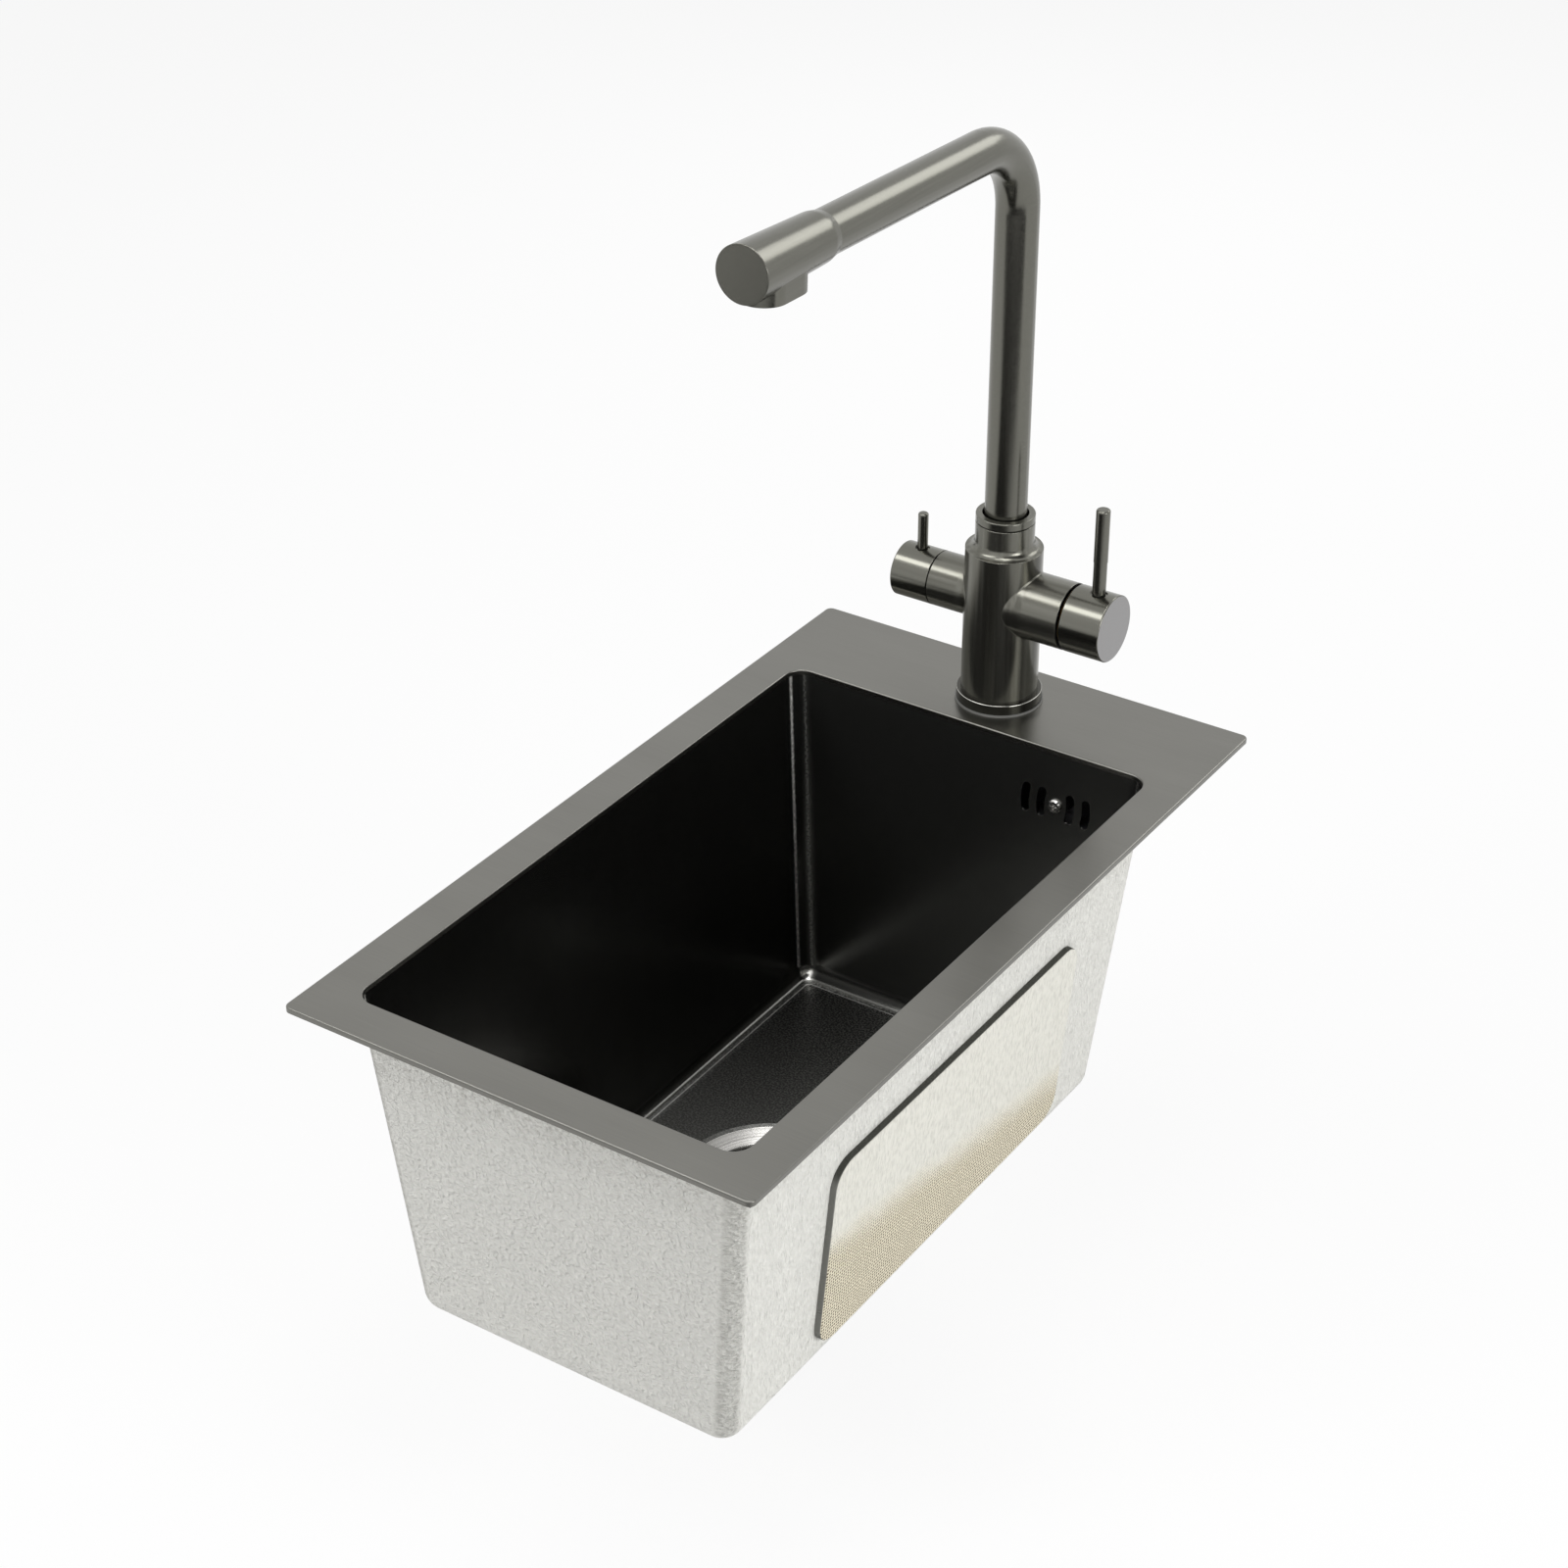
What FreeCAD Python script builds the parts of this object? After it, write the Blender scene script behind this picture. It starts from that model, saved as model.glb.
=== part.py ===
import FreeCAD
import Part
import os
import re
import Sketcher

# A drop-in kitchen sink with one deep bowl and a three-way tap, in millimetres.
# The sink hangs in a worktop by its deck plate. +Z is up, +X is to the right and +Y is to the back,
# where the tap stands. The origin is the middle of the deck, on the worktop's surface.

doc = FreeCAD.newDocument("Sink")
sheet = doc.addObject("Spreadsheet::Sheet", "Sizes")

sizes = {
    # Deck plate, and the seal strip between it and the worktop
    "deck_width": 280,
    "deck_length": 500,
    "deck_thickness": 3,
    "deck_corner": 4,
    "deck_edge_round": 0.8,
    "seal_width": 9,
    "seal_thickness": 1.5,
    "seal_inset": 2,
    # Bowl: the deck left round its opening, its depth below the deck's top, and the lean of its walls
    "bowl_side_rim": 24,
    "bowl_front_rim": 26,
    "bowl_back_rim": 73,
    "bowl_depth": 200,
    "bowl_draft": 5.4,
    "bowl_front_draft": 4,
    "bowl_corner": 11,
    "bowl_sheet": 1.2,
    "coat_thickness": 0.8,
    # Sound pads on the side walls
    "pad_drop": 65,
    "pad_height": 121,
    "pad_length": 243.5,
    "pad_shift": 7.25,
    "pad_thickness": 4,
    "pad_corner": 14,
    "pad_edge_round": 1.2,
    # Overflow in the back wall
    "overflow_inset": 56,
    "overflow_drop": 34,
    "slot_height": 18,
    "slot_width": 5.2,
    "slot_first": 9.5,
    "slot_pitch": 10,
    "slot_bow": 30,
    "overflow_box_width": 64,
    "overflow_box_height": 34,
    "overflow_box_depth": 24,
    "overflow_box_corner": 8,
    "overflow_wall": 3,
    "overflow_gasket_thickness": 2,
    "overflow_boss_radius": 6.5,
    "overflow_screw_radius": 2.4,
    "overflow_screw_length": 18,
    "overflow_head_radius": 4,
    "overflow_head_crown": 3.2,
    "overflow_head_height": 2.2,
    "screw_recess_width": 0.9,
    "screw_recess_length": 4.4,
    "screw_recess_depth": 1.2,
    "overflow_insert_radius": 4,
    "overflow_insert_length": 8,
    "spigot_radius": 10,
    "spigot_bore": 7.5,
    "spigot_length": 26,
    # Drain in the bowl floor
    "drain_flange_radius": 53,
    "drain_throat_radius": 41.5,
    "drain_sheet": 1.2,
    "drain_slope": 22,
    "drain_lip": 0.8,
    "drain_skirt": 27,
    "drain_throat_round": 2.5,
    "drain_rim_round": 0.4,
    "drain_hole_gap": 0.8,
    "drain_gasket_thickness": 0.8,
    "drain_gasket_inset": 1,
    "cup_drop": 9,
    "cup_flange_radius": 53,
    "cup_flange_thickness": 4,
    "cup_wall": 4,
    "cup_shoulder": 30,
    "cup_seat": 36,
    "cup_cone": 8,
    "cup_lug_height": 3.2,
    "cup_lug_width": 5,
    "cup_lug_count": 8,
    "tail_stub_radius": 23.4,
    "tail_stub_length": 5,
    "tail_neck_radius": 27,
    "tail_neck_length": 28,
    "tail_collar_radius": 12.5,
    "tail_collar_reach": 2,
    "outlet_thread_radius": 23.9,
    "outlet_thread_length": 22,
    "outlet_bore": 20,
    # Strainer basket
    "basket_rim_drop": 6,
    "basket_rim_radius": 39.3,
    "basket_rim_thickness": 1.2,
    "basket_mouth_radius": 37.6,
    "basket_base_radius": 33,
    "basket_sheet": 0.8,
    "basket_hole_radius": 2.2,
    "basket_hole_circle": 24,
    "basket_hole_count": 12,
    "basket_slot_width": 3,
    "basket_slot_height": 11,
    "stopper_radius": 24,
    "stopper_thickness": 4,
    "post_radius": 2.4,
    "knob_radius": 9,
    "knob_neck_radius": 4.5,
    "knob_height": 13,
    "knob_neck_height": 4.3,
    "knob_flare_height": 8.7,
    "knob_chamfer": 1.6,
    "knob_rise": 7,
    # Tap foot, barrel and neck
    "tap_setback": 38,
    "tap_hole_radius": 17.5,
    "base_gasket_radius": 25.2,
    "base_gasket_height": 1.2,
    "base_ring_radius": 24.5,
    "base_ring_height": 6.1,
    "base_ring_round": 0.8,
    "barrel_radius": 22,
    "barrel_height": 89.4,
    "shoulder_cove": 4.7,
    "neck_radius": 16.7,
    "neck_height": 16.3,
    "neck_round": 0.5,
    "arm_height": 57.7,
    "arm_weld_round": 0.8,
    # Tap shank and what clamps it under the deck
    "shank_radius": 16,
    "shank_bore": 12.5,
    "shank_engagement": 10,
    "shank_drop": 45,
    "washer_radius": 25,
    "rubber_washer_thickness": 2,
    "steel_washer_thickness": 1.5,
    "shank_nut_radius": 23.5,
    "shank_nut_height": 9,
    "shank_nut_chamfer": 2.4,
    "inlet_radius": 4,
    "inlet_socket_radius": 6,
    "inlet_circle": 8,
    "inlet_depth": 14,
    "inlet_way_step": 2,
    # Swivel joint of the spout
    "swivel_bore": 14.8,
    "collar_nut_height": 4.4,
    "collar_nut_seam": 0.6,
    "collar_nut_skirt": 9,
    "collar_nut_round": 0.6,
    "collar_gap": 1.2,
    "bush_length": 16,
    "ferrule_length": 22,
    "ferrule_floor": 4,
    "oring_section": 0.85,
    "oring_groove": 2,
    "oring_first": 8.8,
    "oring_second": 16.5,
    # Spout
    "spout_radius": 11.9,
    "spout_wall": 1.2,
    "spout_height": 338,
    "spout_rise": 2.3,
    "spout_reach": 258.7,
    "spout_bend": 43,
    "filter_pipe_radius": 4,
    "filter_pipe_wall": 1.2,
    # Spout head, its cap and its outlets
    "head_radius": 15,
    "head_step": 0.5,
    "head_shoulder": 1.5,
    "head_shoulder_length": 5.5,
    "head_shoulder_round": 14,
    "head_bore": 10.8,
    "head_length": 67,
    "head_socket": 10,
    "head_plate": 3,
    "cap_radius": 14.2,
    "cap_thickness": 3,
    "outlet_width": 25,
    "outlet_length": 40,
    "outlet_setback": 26.2,
    "outlet_drop": 17.5,
    "outlet_height": 13.5,
    "aerator_radius": 9,
    "aerator_shift": 6.5,
    "aerator_depth": 7,
    "aerator_hole_radius": 1.1,
    "aerator_hole_circle": 5.5,
    "nozzle_radius": 4,
    "nozzle_bore": 2.6,
    "nozzle_shift": 11.5,
    "nozzle_depth": 8,
    # Mixer valve on the right arm
    "mixer_arm_radius": 19.35,
    "mixer_arm_reach": 44.4,
    "mixer_bore": 16.5,
    "mixer_bore_depth": 18,
    "mixer_nut_length": 5.4,
    "mixer_nut_bore": 9,
    "mixer_spindle_radius": 5,
    "mixer_gap": 2.1,
    "mixer_handle_length": 24.5,
    "mixer_lever_offset": 14,
    "mixer_lever_radius": 3.8,
    "mixer_lever_height": 39,
    "sleeve_radius": 4,
    "sleeve_length": 32,
    # Filter valve on the left arm
    "filter_arm_radius": 16,
    "filter_arm_reach": 40.7,
    "filter_bore": 13,
    "filter_bore_depth": 16,
    "filter_nut_length": 5,
    "filter_nut_bore": 7.5,
    "filter_spindle_radius": 4,
    "filter_gap": 0.7,
    "filter_handle_length": 23.6,
    "filter_lever_offset": 11.6,
    "filter_lever_radius": 3,
    "filter_lever_height": 38,
    # Shared by both valves
    "spindle_in_cartridge": 7,
    "spindle_in_handle": 12,
    "lever_socket_wall": 2,
    "lever_recess_margin": 1.2,
    "lever_recess_depth": 1.2,
    "handle_round": 0.8,
    "seam_round": 0.3,
    "lever_round": 1.3,
    # Clearances: a fixed fit, a running fit and a gap between faces that pass each other
    "fit_gap": 0.1,
    "running_gap": 0.08,
    "face_gap": 0.3,
    # How far a cut starts and ends outside of what it cuts
    "cut_margin": 1,
    "wall_cut": 14,
}

for row, (name, number) in enumerate(sizes.items(), start=1):
    sheet.set(f"A{row}", name)
    sheet.set(f"B{row}", str(number))
    sheet.setAlias(f"B{row}", name)
doc.recompute()

# Places and sizes that follow from the sheet. Each is an expression over its names.
derived = {
    "deck_top": "seal_thickness + deck_thickness",
    "bowl_width": "deck_width - 2 * bowl_side_rim",
    "bowl_length": "deck_length - bowl_front_rim - bowl_back_rim",
    "bowl_middle": "bowl_front_rim + bowl_length / 2 - deck_length / 2",
    "bowl_floor": "deck_top - bowl_depth",
    "tap_axis": "deck_length / 2 - tap_setback",
    # Overflow: where the screw's axis meets the inside of the leaning back wall
    "overflow_offset": "bowl_width / 2 - overflow_inset",
    "screw_height": "deck_top - overflow_drop",
    "screw_depth": "bowl_length / 2 - (seal_thickness - screw_height) * tan(bowl_draft)",
    "box_front": "bowl_sheet + overflow_gasket_thickness",
    "box_back": "box_front + overflow_box_depth",
    "spigot_axis": "box_back - overflow_wall - spigot_radius",
    # Drain: each surface of the sloping stack is the flange's top, lowered
    "flange_under": "drain_sheet / cos(drain_slope)",
    "dish_upper": "flange_under + drain_gasket_thickness / cos(drain_slope)",
    "dish_under": "dish_upper + bowl_sheet / cos(drain_slope)",
    "dish_radius": "drain_flange_radius + (dish_upper - drain_lip) / tan(drain_slope)",
    "drain_hole": "drain_throat_radius + drain_sheet + drain_hole_gap",
    "cup_bore": "drain_throat_radius + drain_sheet + fit_gap",
    "cup_radius": "cup_bore + cup_wall",
    "neck_start": "bowl_floor - cup_seat - cup_cone",
    "thread_start": "neck_start - tail_neck_length",
    "drain_end": "thread_start - outlet_thread_length",
    "stopper_base": "bowl_floor - cup_seat + face_gap",
    "basket_base": "stopper_base + stopper_thickness",
    "basket_rim": "bowl_floor - basket_rim_drop",
    "knob_top": "bowl_floor + knob_rise",
    "knob_foot": "knob_top - knob_height",
    # Tap heights, from the deck up
    "ring_foot": "deck_top + base_gasket_height",
    "tap_foot": "ring_foot + base_ring_height",
    "barrel_top": "tap_foot + barrel_height",
    "neck_top": "barrel_top + neck_height",
    "arm_axis": "tap_foot + arm_height",
    "shank_top": "tap_foot + shank_engagement",
    "bush_top": "neck_top - collar_nut_skirt",
    "ferrule_top": "bush_top - bush_length - face_gap",
    "ferrule_foot": "ferrule_top - ferrule_length",
    "swivel_floor": "ferrule_foot - face_gap",
    "tube_foot": "ferrule_foot + ferrule_floor",
    # Spout: the corner where the upright's axis meets the arm's, and distances along the arm
    "spout_corner": "deck_top + spout_height",
    "bend_run": "spout_bend * tan((90 - spout_rise) / 2)",
    "arm_length": "spout_reach / cos(spout_rise)",
    "head_start": "arm_length - head_length",
    "plate_start": "head_start + head_socket",
    "plate_end": "plate_start + head_plate",
    "outlet_place": "arm_length - outlet_setback",
}


def spell(text):
    """The expression with each name written as a cell of the sheet, or as what it is derived from."""

    def one_name(match):
        name = match.group()
        if name in sizes:
            return f"Sizes.{name}"
        if name in derived:
            return f"({spell(derived[name])})"
        return name

    return re.sub(r"[a-z_]\w*", one_name, text)


def value(text):
    return float(sheet.evalExpression(spell(text)))


def bind(thing, prop, text):
    thing.setExpression(prop, spell(text))


def new_body(label, x="0", y="0", z="0", axis=None, angle="0"):
    """An empty body, turned about one of its axes and moved to where its piece sits."""
    body = doc.addObject("PartDesign::Body", label)
    body.Label = label
    if axis:
        body.Placement = FreeCAD.Placement(FreeCAD.Vector(), FreeCAD.Rotation(axis, value(angle)))
        bind(body, "Placement.Rotation.Angle", angle)
    for letter, text in zip("xyz", (x, y, z)):
        bind(body, f"Placement.Base.{letter}", text)
    return body


def new_sketch(body, plane, offset="0"):
    """A sketch on one of the body's origin planes, moved along the plane's normal."""
    sketch = body.newObject("Sketcher::SketchObject", f"{body.Name}_sketch")
    planes = [feature for feature in body.Origin.OriginFeatures if feature.Role == f"{plane}_Plane"]
    sketch.AttachmentSupport = [(planes[0], "")]
    sketch.MapMode = "FlatFace"
    bind(sketch, "AttachmentOffset.Base.z", offset)
    return sketch


def limit(sketch, text, kind, *elements):
    """A dimension of the sketch that follows an expression."""
    index = sketch.addConstraint(Sketcher.Constraint(kind, *elements, value(text)))
    bind(sketch, f"Constraints[{index}]", text)


def place_point(sketch, geometry, point, x, y):
    limit(sketch, x, "DistanceX", -1, 1, geometry, point)
    limit(sketch, y, "DistanceY", -1, 1, geometry, point)


def draw_polygon(sketch, corners):
    points = [FreeCAD.Vector(value(x), value(y), 0) for x, y in corners]
    first = sketch.GeometryCount
    for start, end in zip(points, points[1:] + points[:1]):
        sketch.addGeometry(Part.LineSegment(start, end))
    for n, (x, y) in enumerate(corners):
        before = first + (n - 1) % len(corners)
        sketch.addConstraint(Sketcher.Constraint("Coincident", before, 2, first + n, 1))
        place_point(sketch, first + n, 1, x, y)


def draw_rectangle(sketch, left, right, low, high):
    draw_polygon(sketch, [(left, low), (right, low), (right, high), (left, high)])


def draw_circle(sketch, radius, x="0", y="0"):
    middle = FreeCAD.Vector(value(x), value(y), 0)
    circle = sketch.addGeometry(Part.Circle(middle, FreeCAD.Vector(0, 0, 1), value(radius)))
    limit(sketch, radius, "Radius", circle)
    place_point(sketch, circle, 3, x, y)


def add_arc(sketch, x, y, radius, start, end):
    circle = Part.Circle(FreeCAD.Vector(x, y, 0), FreeCAD.Vector(0, 0, 1), radius)
    first = FreeCAD.Units.Quantity(f"{start} deg").getValueAs("rad").Value
    last = FreeCAD.Units.Quantity(f"{end} deg").getValueAs("rad").Value
    return sketch.addGeometry(Part.ArcOfCircle(circle, first, last))


def draw_obround(sketch, y, width, length):
    """A slot along the sketch's vertical axis, with half-round ends."""
    half = value(width) / 2
    low = f"{y} - ({length} - {width}) / 2"
    high = f"{y} + ({length} - {width}) / 2"
    ends = {"low": value(low), "high": value(high)}
    right = sketch.addGeometry(
        Part.LineSegment(FreeCAD.Vector(half, ends["low"], 0), FreeCAD.Vector(half, ends["high"], 0))
    )
    top = add_arc(sketch, 0, ends["high"], half, 0, 180)
    left = sketch.addGeometry(
        Part.LineSegment(FreeCAD.Vector(-half, ends["high"], 0), FreeCAD.Vector(-half, ends["low"], 0))
    )
    bottom = add_arc(sketch, 0, ends["low"], half, 180, 360)
    for before, after in ((right, top), (top, left), (left, bottom), (bottom, right)):
        sketch.addConstraint(Sketcher.Constraint("Tangent", before, 2, after, 1))
    for arc, place in ((top, high), (bottom, low)):
        limit(sketch, f"{width} / 2", "Radius", arc)
        place_point(sketch, arc, 3, "0", place)


def draw_bowed_slot(sketch, side, distance):
    """An overflow slot that bows away from the screw, on its right (side 1) or its left (side -1)."""
    middle = f"{side} * ({distance} - slot_bow)"
    outer = "slot_bow + slot_width / 2"
    inner = "slot_bow - slot_width / 2"
    reach = "(slot_height - slot_width) / 2"
    spread = value(f"asin({reach} / slot_bow)")
    ahead = 0 if side > 0 else 180
    x = value(middle)
    end_x = x + side * value(f"sqrt(slot_bow ^ 2 - ({reach}) ^ 2)")
    end_y = value(reach)
    cap = value("slot_width") / 2
    far = add_arc(sketch, x, 0, value(outer), ahead - spread, ahead + spread)
    near = add_arc(sketch, x, 0, value(inner), ahead - spread, ahead + spread)
    last = add_arc(sketch, end_x, side * end_y, cap, ahead + spread, ahead + spread + 180)
    first = add_arc(sketch, end_x, -side * end_y, cap, ahead - spread + 180, ahead - spread + 360)
    joints = ((far, 2, last, 1), (near, 2, last, 2), (near, 1, first, 1), (far, 1, first, 2))
    for joint in joints:
        sketch.addConstraint(Sketcher.Constraint("Tangent", *joint))
    sketch.addConstraint(Sketcher.Constraint("Coincident", far, 3, near, 3))
    place_point(sketch, far, 3, middle, "0")
    limit(sketch, outer, "Radius", far)
    limit(sketch, inner, "Radius", near)
    limit(sketch, f"{side} * {reach}", "DistanceY", -1, 1, last, 3)
    limit(sketch, f"{-side} * {reach}", "DistanceY", -1, 1, first, 3)


def add_feature(body, kind, sketch):
    feature = body.newObject(f"PartDesign::{kind}", f"{body.Name}_{kind}")
    feature.Profile = sketch
    return feature


def pad(body, sketch, length, backwards=False):
    feature = add_feature(body, "Pad", sketch)
    bind(feature, "Length", length)
    feature.Reversed = backwards
    doc.recompute()
    return feature


def pocket(body, sketch, depth, backwards=False, both_ways=False):
    """A cut against the sketch's normal, or along it, or half of its depth each way."""
    before = body.Tip.Shape.Volume
    feature = add_feature(body, "Pocket", sketch)
    bind(feature, "Length", depth)
    feature.Reversed = backwards
    if both_ways:
        feature.SideType = "Symmetric"
    doc.recompute()
    if feature.Shape.Volume > before - 1e-6:
        raise ValueError(f"a pocket of {body.Label} cuts nothing")
    return feature


def turn(body, corners, kind="Revolution"):
    """A revolution, or a groove, about the body's Z axis from (radius, height) corners."""
    sketch = new_sketch(body, "XZ")
    draw_polygon(sketch, corners)
    feature = add_feature(body, kind, sketch)
    feature.ReferenceAxis = (sketch, ["V_Axis"])
    feature.Angle = 360
    doc.recompute()
    return feature


def round_edges(body, radius, wanted):
    base = body.Tip
    names = [f"Edge{n}" for n, edge in enumerate(base.Shape.Edges, start=1) if wanted(edge)]
    fillet = body.newObject("PartDesign::Fillet", f"{body.Name}_fillet")
    fillet.Base = (base, names)
    bind(fillet, "Radius", radius)
    doc.recompute()


def repeat(body, feature, count):
    """Copies of a feature round the body's Z axis."""
    pattern = body.newObject("PartDesign::PolarPattern", f"{body.Name}_pattern")
    pattern.Originals = [feature]
    axes = [axis for axis in body.Origin.OriginFeatures if axis.Role == "Z_Axis"]
    pattern.Axis = (axes[0], [""])
    pattern.Angle = 360
    bind(pattern, "Occurrences", count)
    body.Tip = pattern
    doc.recompute()


def upright(edge):
    ends = edge.Vertexes
    return len(ends) == 2 and abs(ends[0].Z - ends[1].Z) > 1e-3


def at_height(edge, text):
    height = value(text)
    box = edge.BoundBox
    return abs(box.ZMin - height) < 1e-3 and abs(box.ZMax - height) < 1e-3


def at_distance(edge, text):
    """Does the edge lie in the plane at this X?"""
    distance = value(text)
    box = edge.BoundBox
    return abs(box.XMin - distance) < 1e-3 and abs(box.XMax - distance) < 1e-3


def has_radius(edge, text):
    curve = edge.Curve
    return hasattr(curve, "Radius") and abs(curve.Radius - value(text)) < 1e-3


# Deck plate: a flat plate with the bowl's opening and the tap's hole, its upper edges eased
deck = new_body("deck_plate")
outline = new_sketch(deck, "XY", "seal_thickness")
draw_rectangle(outline, "-deck_width / 2", "deck_width / 2", "-deck_length / 2", "deck_length / 2")
pad(deck, outline, "deck_thickness")
round_edges(deck, "deck_corner", upright)
opening = new_sketch(deck, "XY", "deck_top")
draw_rectangle(
    opening,
    "-bowl_width / 2",
    "bowl_width / 2",
    "bowl_middle - bowl_length / 2",
    "bowl_middle + bowl_length / 2",
)
pocket(deck, opening, "deck_thickness")
round_edges(
    deck,
    "bowl_corner",
    lambda edge: upright(edge) and abs(edge.Vertexes[0].X) < value("bowl_width / 2 + fit_gap"),
)
tap_hole = new_sketch(deck, "XY", "deck_top")
draw_circle(tap_hole, "tap_hole_radius", y="tap_axis")
pocket(deck, tap_hole, "deck_thickness")
round_edges(
    deck,
    "deck_edge_round",
    lambda edge: at_height(edge, "deck_top") and not has_radius(edge, "tap_hole_radius"),
)

# Seal strip: a frame of foam under the deck's edge, which lies on the worktop
seal = new_body("rim_seal")
outline = new_sketch(seal, "XY")
seal_x = "deck_width / 2 - seal_inset"
seal_y = "deck_length / 2 - seal_inset"
draw_rectangle(outline, f"-({seal_x})", seal_x, f"-({seal_y})", seal_y)
inner_x = f"{seal_x} - seal_width"
inner_y = f"{seal_y} - seal_width"
draw_rectangle(outline, f"-({inner_x})", inner_x, f"-({inner_y})", inner_y)
pad(seal, outline, "seal_thickness")


def lean(body, neutral, angle, wanted):
    """Lean the walls that are wanted, so that the tub narrows downwards from the neutral plane."""
    base = body.Tip
    names = [f"Face{n}" for n, face in enumerate(base.Shape.Faces, start=1) if wanted(face.normalAt(0, 0))]
    draft = body.newObject("PartDesign::Draft", f"{body.Name}_draft")
    draft.Base = (base, names)
    bind(draft, "Angle", angle)
    draft.NeutralPlane = (neutral, [""])
    draft.Reversed = True
    doc.recompute()


def leaning_tub(label, spread, skin):
    """An open tub round the bowl's inside: spread is how far out it reaches, skin how thick it is."""
    body = new_body(label, y="bowl_middle")
    rim = new_sketch(body, "XY", "seal_thickness")
    half_x = f"bowl_width / 2 + ({spread}) / cos(bowl_draft)"
    front = f"bowl_length / 2 + ({spread}) / cos(bowl_front_draft)"
    back = f"bowl_length / 2 + ({spread}) / cos(bowl_draft)"
    draw_rectangle(rim, f"-({half_x})", half_x, f"-({front})", back)
    pad(body, rim, f"bowl_depth - deck_thickness + {spread}", backwards=True)
    level = [feature for feature in body.Origin.OriginFeatures if feature.Role == "XY_Plane"]
    neutral = body.newObject("PartDesign::Plane", f"{label}_rim_plane")
    neutral.AttachmentSupport = [(level[0], "")]
    neutral.MapMode = "FlatFace"
    bind(neutral, "AttachmentOffset.Base.z", "seal_thickness")
    lean(body, neutral, "bowl_draft", lambda normal: abs(normal.z) < 0.5 and normal.y > -0.5)
    lean(body, neutral, "bowl_front_draft", lambda normal: normal.y < -0.5)
    below_rim = value("seal_thickness - cut_margin")
    round_edges(body, f"bowl_corner + {spread}", lambda edge: edge.BoundBox.ZMin < below_rim)
    base = body.Tip
    top = [
        f"Face{n}"
        for n, face in enumerate(base.Shape.Faces, start=1)
        if face.normalAt(0, 0).z > 0.9
    ]
    shell = body.newObject("PartDesign::Thickness", f"{label}_skin")
    shell.Base = (base, top)
    bind(shell, "Value", skin)
    shell.Reversed = True
    shell.Join = "Intersection"
    doc.recompute()
    return body


def back_wall_sketch(body):
    """A sketch in the leaning back wall of a tub, with its origin on the overflow screw's axis."""
    sketch = new_sketch(body, "XZ", "-(screw_depth)")
    bind(sketch, "AttachmentOffset.Base.x", "overflow_offset")
    bind(sketch, "AttachmentOffset.Base.y", "screw_height")
    sketch.AttachmentOffset = FreeCAD.Placement(
        sketch.AttachmentOffset.Base,
        FreeCAD.Rotation(FreeCAD.Vector(1, 0, 0), value("-bowl_draft")),
    )
    bind(sketch, "AttachmentOffset.Rotation.Angle", "-bowl_draft")
    return sketch


def stack_height(radius, lowered="0"):
    """The height of one of the drain's sloping surfaces at a radius."""
    return f"bowl_floor + drain_lip - (drain_flange_radius - ({radius})) * tan(drain_slope) - ({lowered})"


# Bowl: a drafted tub with a dished seat for the drain, and slots for the overflow
bowl = leaning_tub("bowl_shell", "bowl_sheet", "bowl_sheet")
floor_hole = new_sketch(bowl, "XY", "bowl_floor + cut_margin")
draw_circle(floor_hole, "dish_radius")
pocket(bowl, floor_hole, "bowl_sheet + 2 * cut_margin")
turn(
    bowl,
    [
        ("dish_radius", "bowl_floor"),
        ("drain_hole", stack_height("drain_hole", "dish_upper")),
        ("drain_hole", stack_height("drain_hole", "dish_under")),
        ("dish_radius", "bowl_floor - bowl_sheet"),
    ],
)
slots = back_wall_sketch(bowl)
for side in (1, -1):
    for distance in ("slot_first", "(slot_first + slot_pitch)"):
        draw_bowed_slot(slots, side, distance)
draw_circle(slots, "overflow_screw_radius + fit_gap")
pocket(bowl, slots, "wall_cut", both_ways=True)

# Spray coat: a thin skin on the outside of the bowl, left off round the drain and the overflow
coat = leaning_tub("spray_coat", "bowl_sheet + coat_thickness", "coat_thickness")
drain_window = new_sketch(coat, "XY", "bowl_floor")
draw_circle(drain_window, "dish_radius + drain_hole_gap")
pocket(coat, drain_window, "bowl_sheet + coat_thickness + cut_margin")
overflow_window = back_wall_sketch(coat)
window_x = "overflow_box_width / 2 + drain_hole_gap"
window_y = "overflow_box_height / 2 + drain_hole_gap"
draw_rectangle(overflow_window, f"-({window_x})", window_x, f"-({window_y})", window_y)
pocket(coat, overflow_window, "wall_cut", both_ways=True)

# Sound pads: slabs stuck on the side walls, which lean with them
pad_top = "(deck_top - pad_drop)"
coat_face = "bowl_width / 2 + (bowl_sheet + coat_thickness) / cos(bowl_draft)"
pad_x = f"({coat_face} - (seal_thickness - {pad_top}) * tan(bowl_draft))"
for label, side in (("sound_pad_right", 1), ("sound_pad_left", -1)):
    slab = new_body(
        label,
        x=f"{side} * {pad_x}",
        y="bowl_middle + pad_shift",
        z=pad_top,
        axis=FreeCAD.Vector(0, 1, 0),
        angle=f"{side} * (90 + bowl_draft)",
    )
    outline = new_sketch(slab, "XY")
    low, high = ("0", "pad_height") if side > 0 else ("-pad_height", "0")
    draw_rectangle(outline, low, high, "-pad_length / 2", "pad_length / 2")
    pad(slab, outline, "pad_thickness")
    round_edges(slab, "pad_corner", upright)
    round_edges(slab, "pad_edge_round", lambda edge: at_height(edge, "pad_thickness"))


def overflow_body(label):
    """A body in the back wall's own frame: Y runs down the wall and Z out of it, from its inside."""
    return new_body(
        label,
        x="overflow_offset",
        y="bowl_middle + screw_depth",
        z="screw_height",
        axis=FreeCAD.Vector(1, 0, 0),
        angle="-(90 + bowl_draft)",
    )


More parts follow.
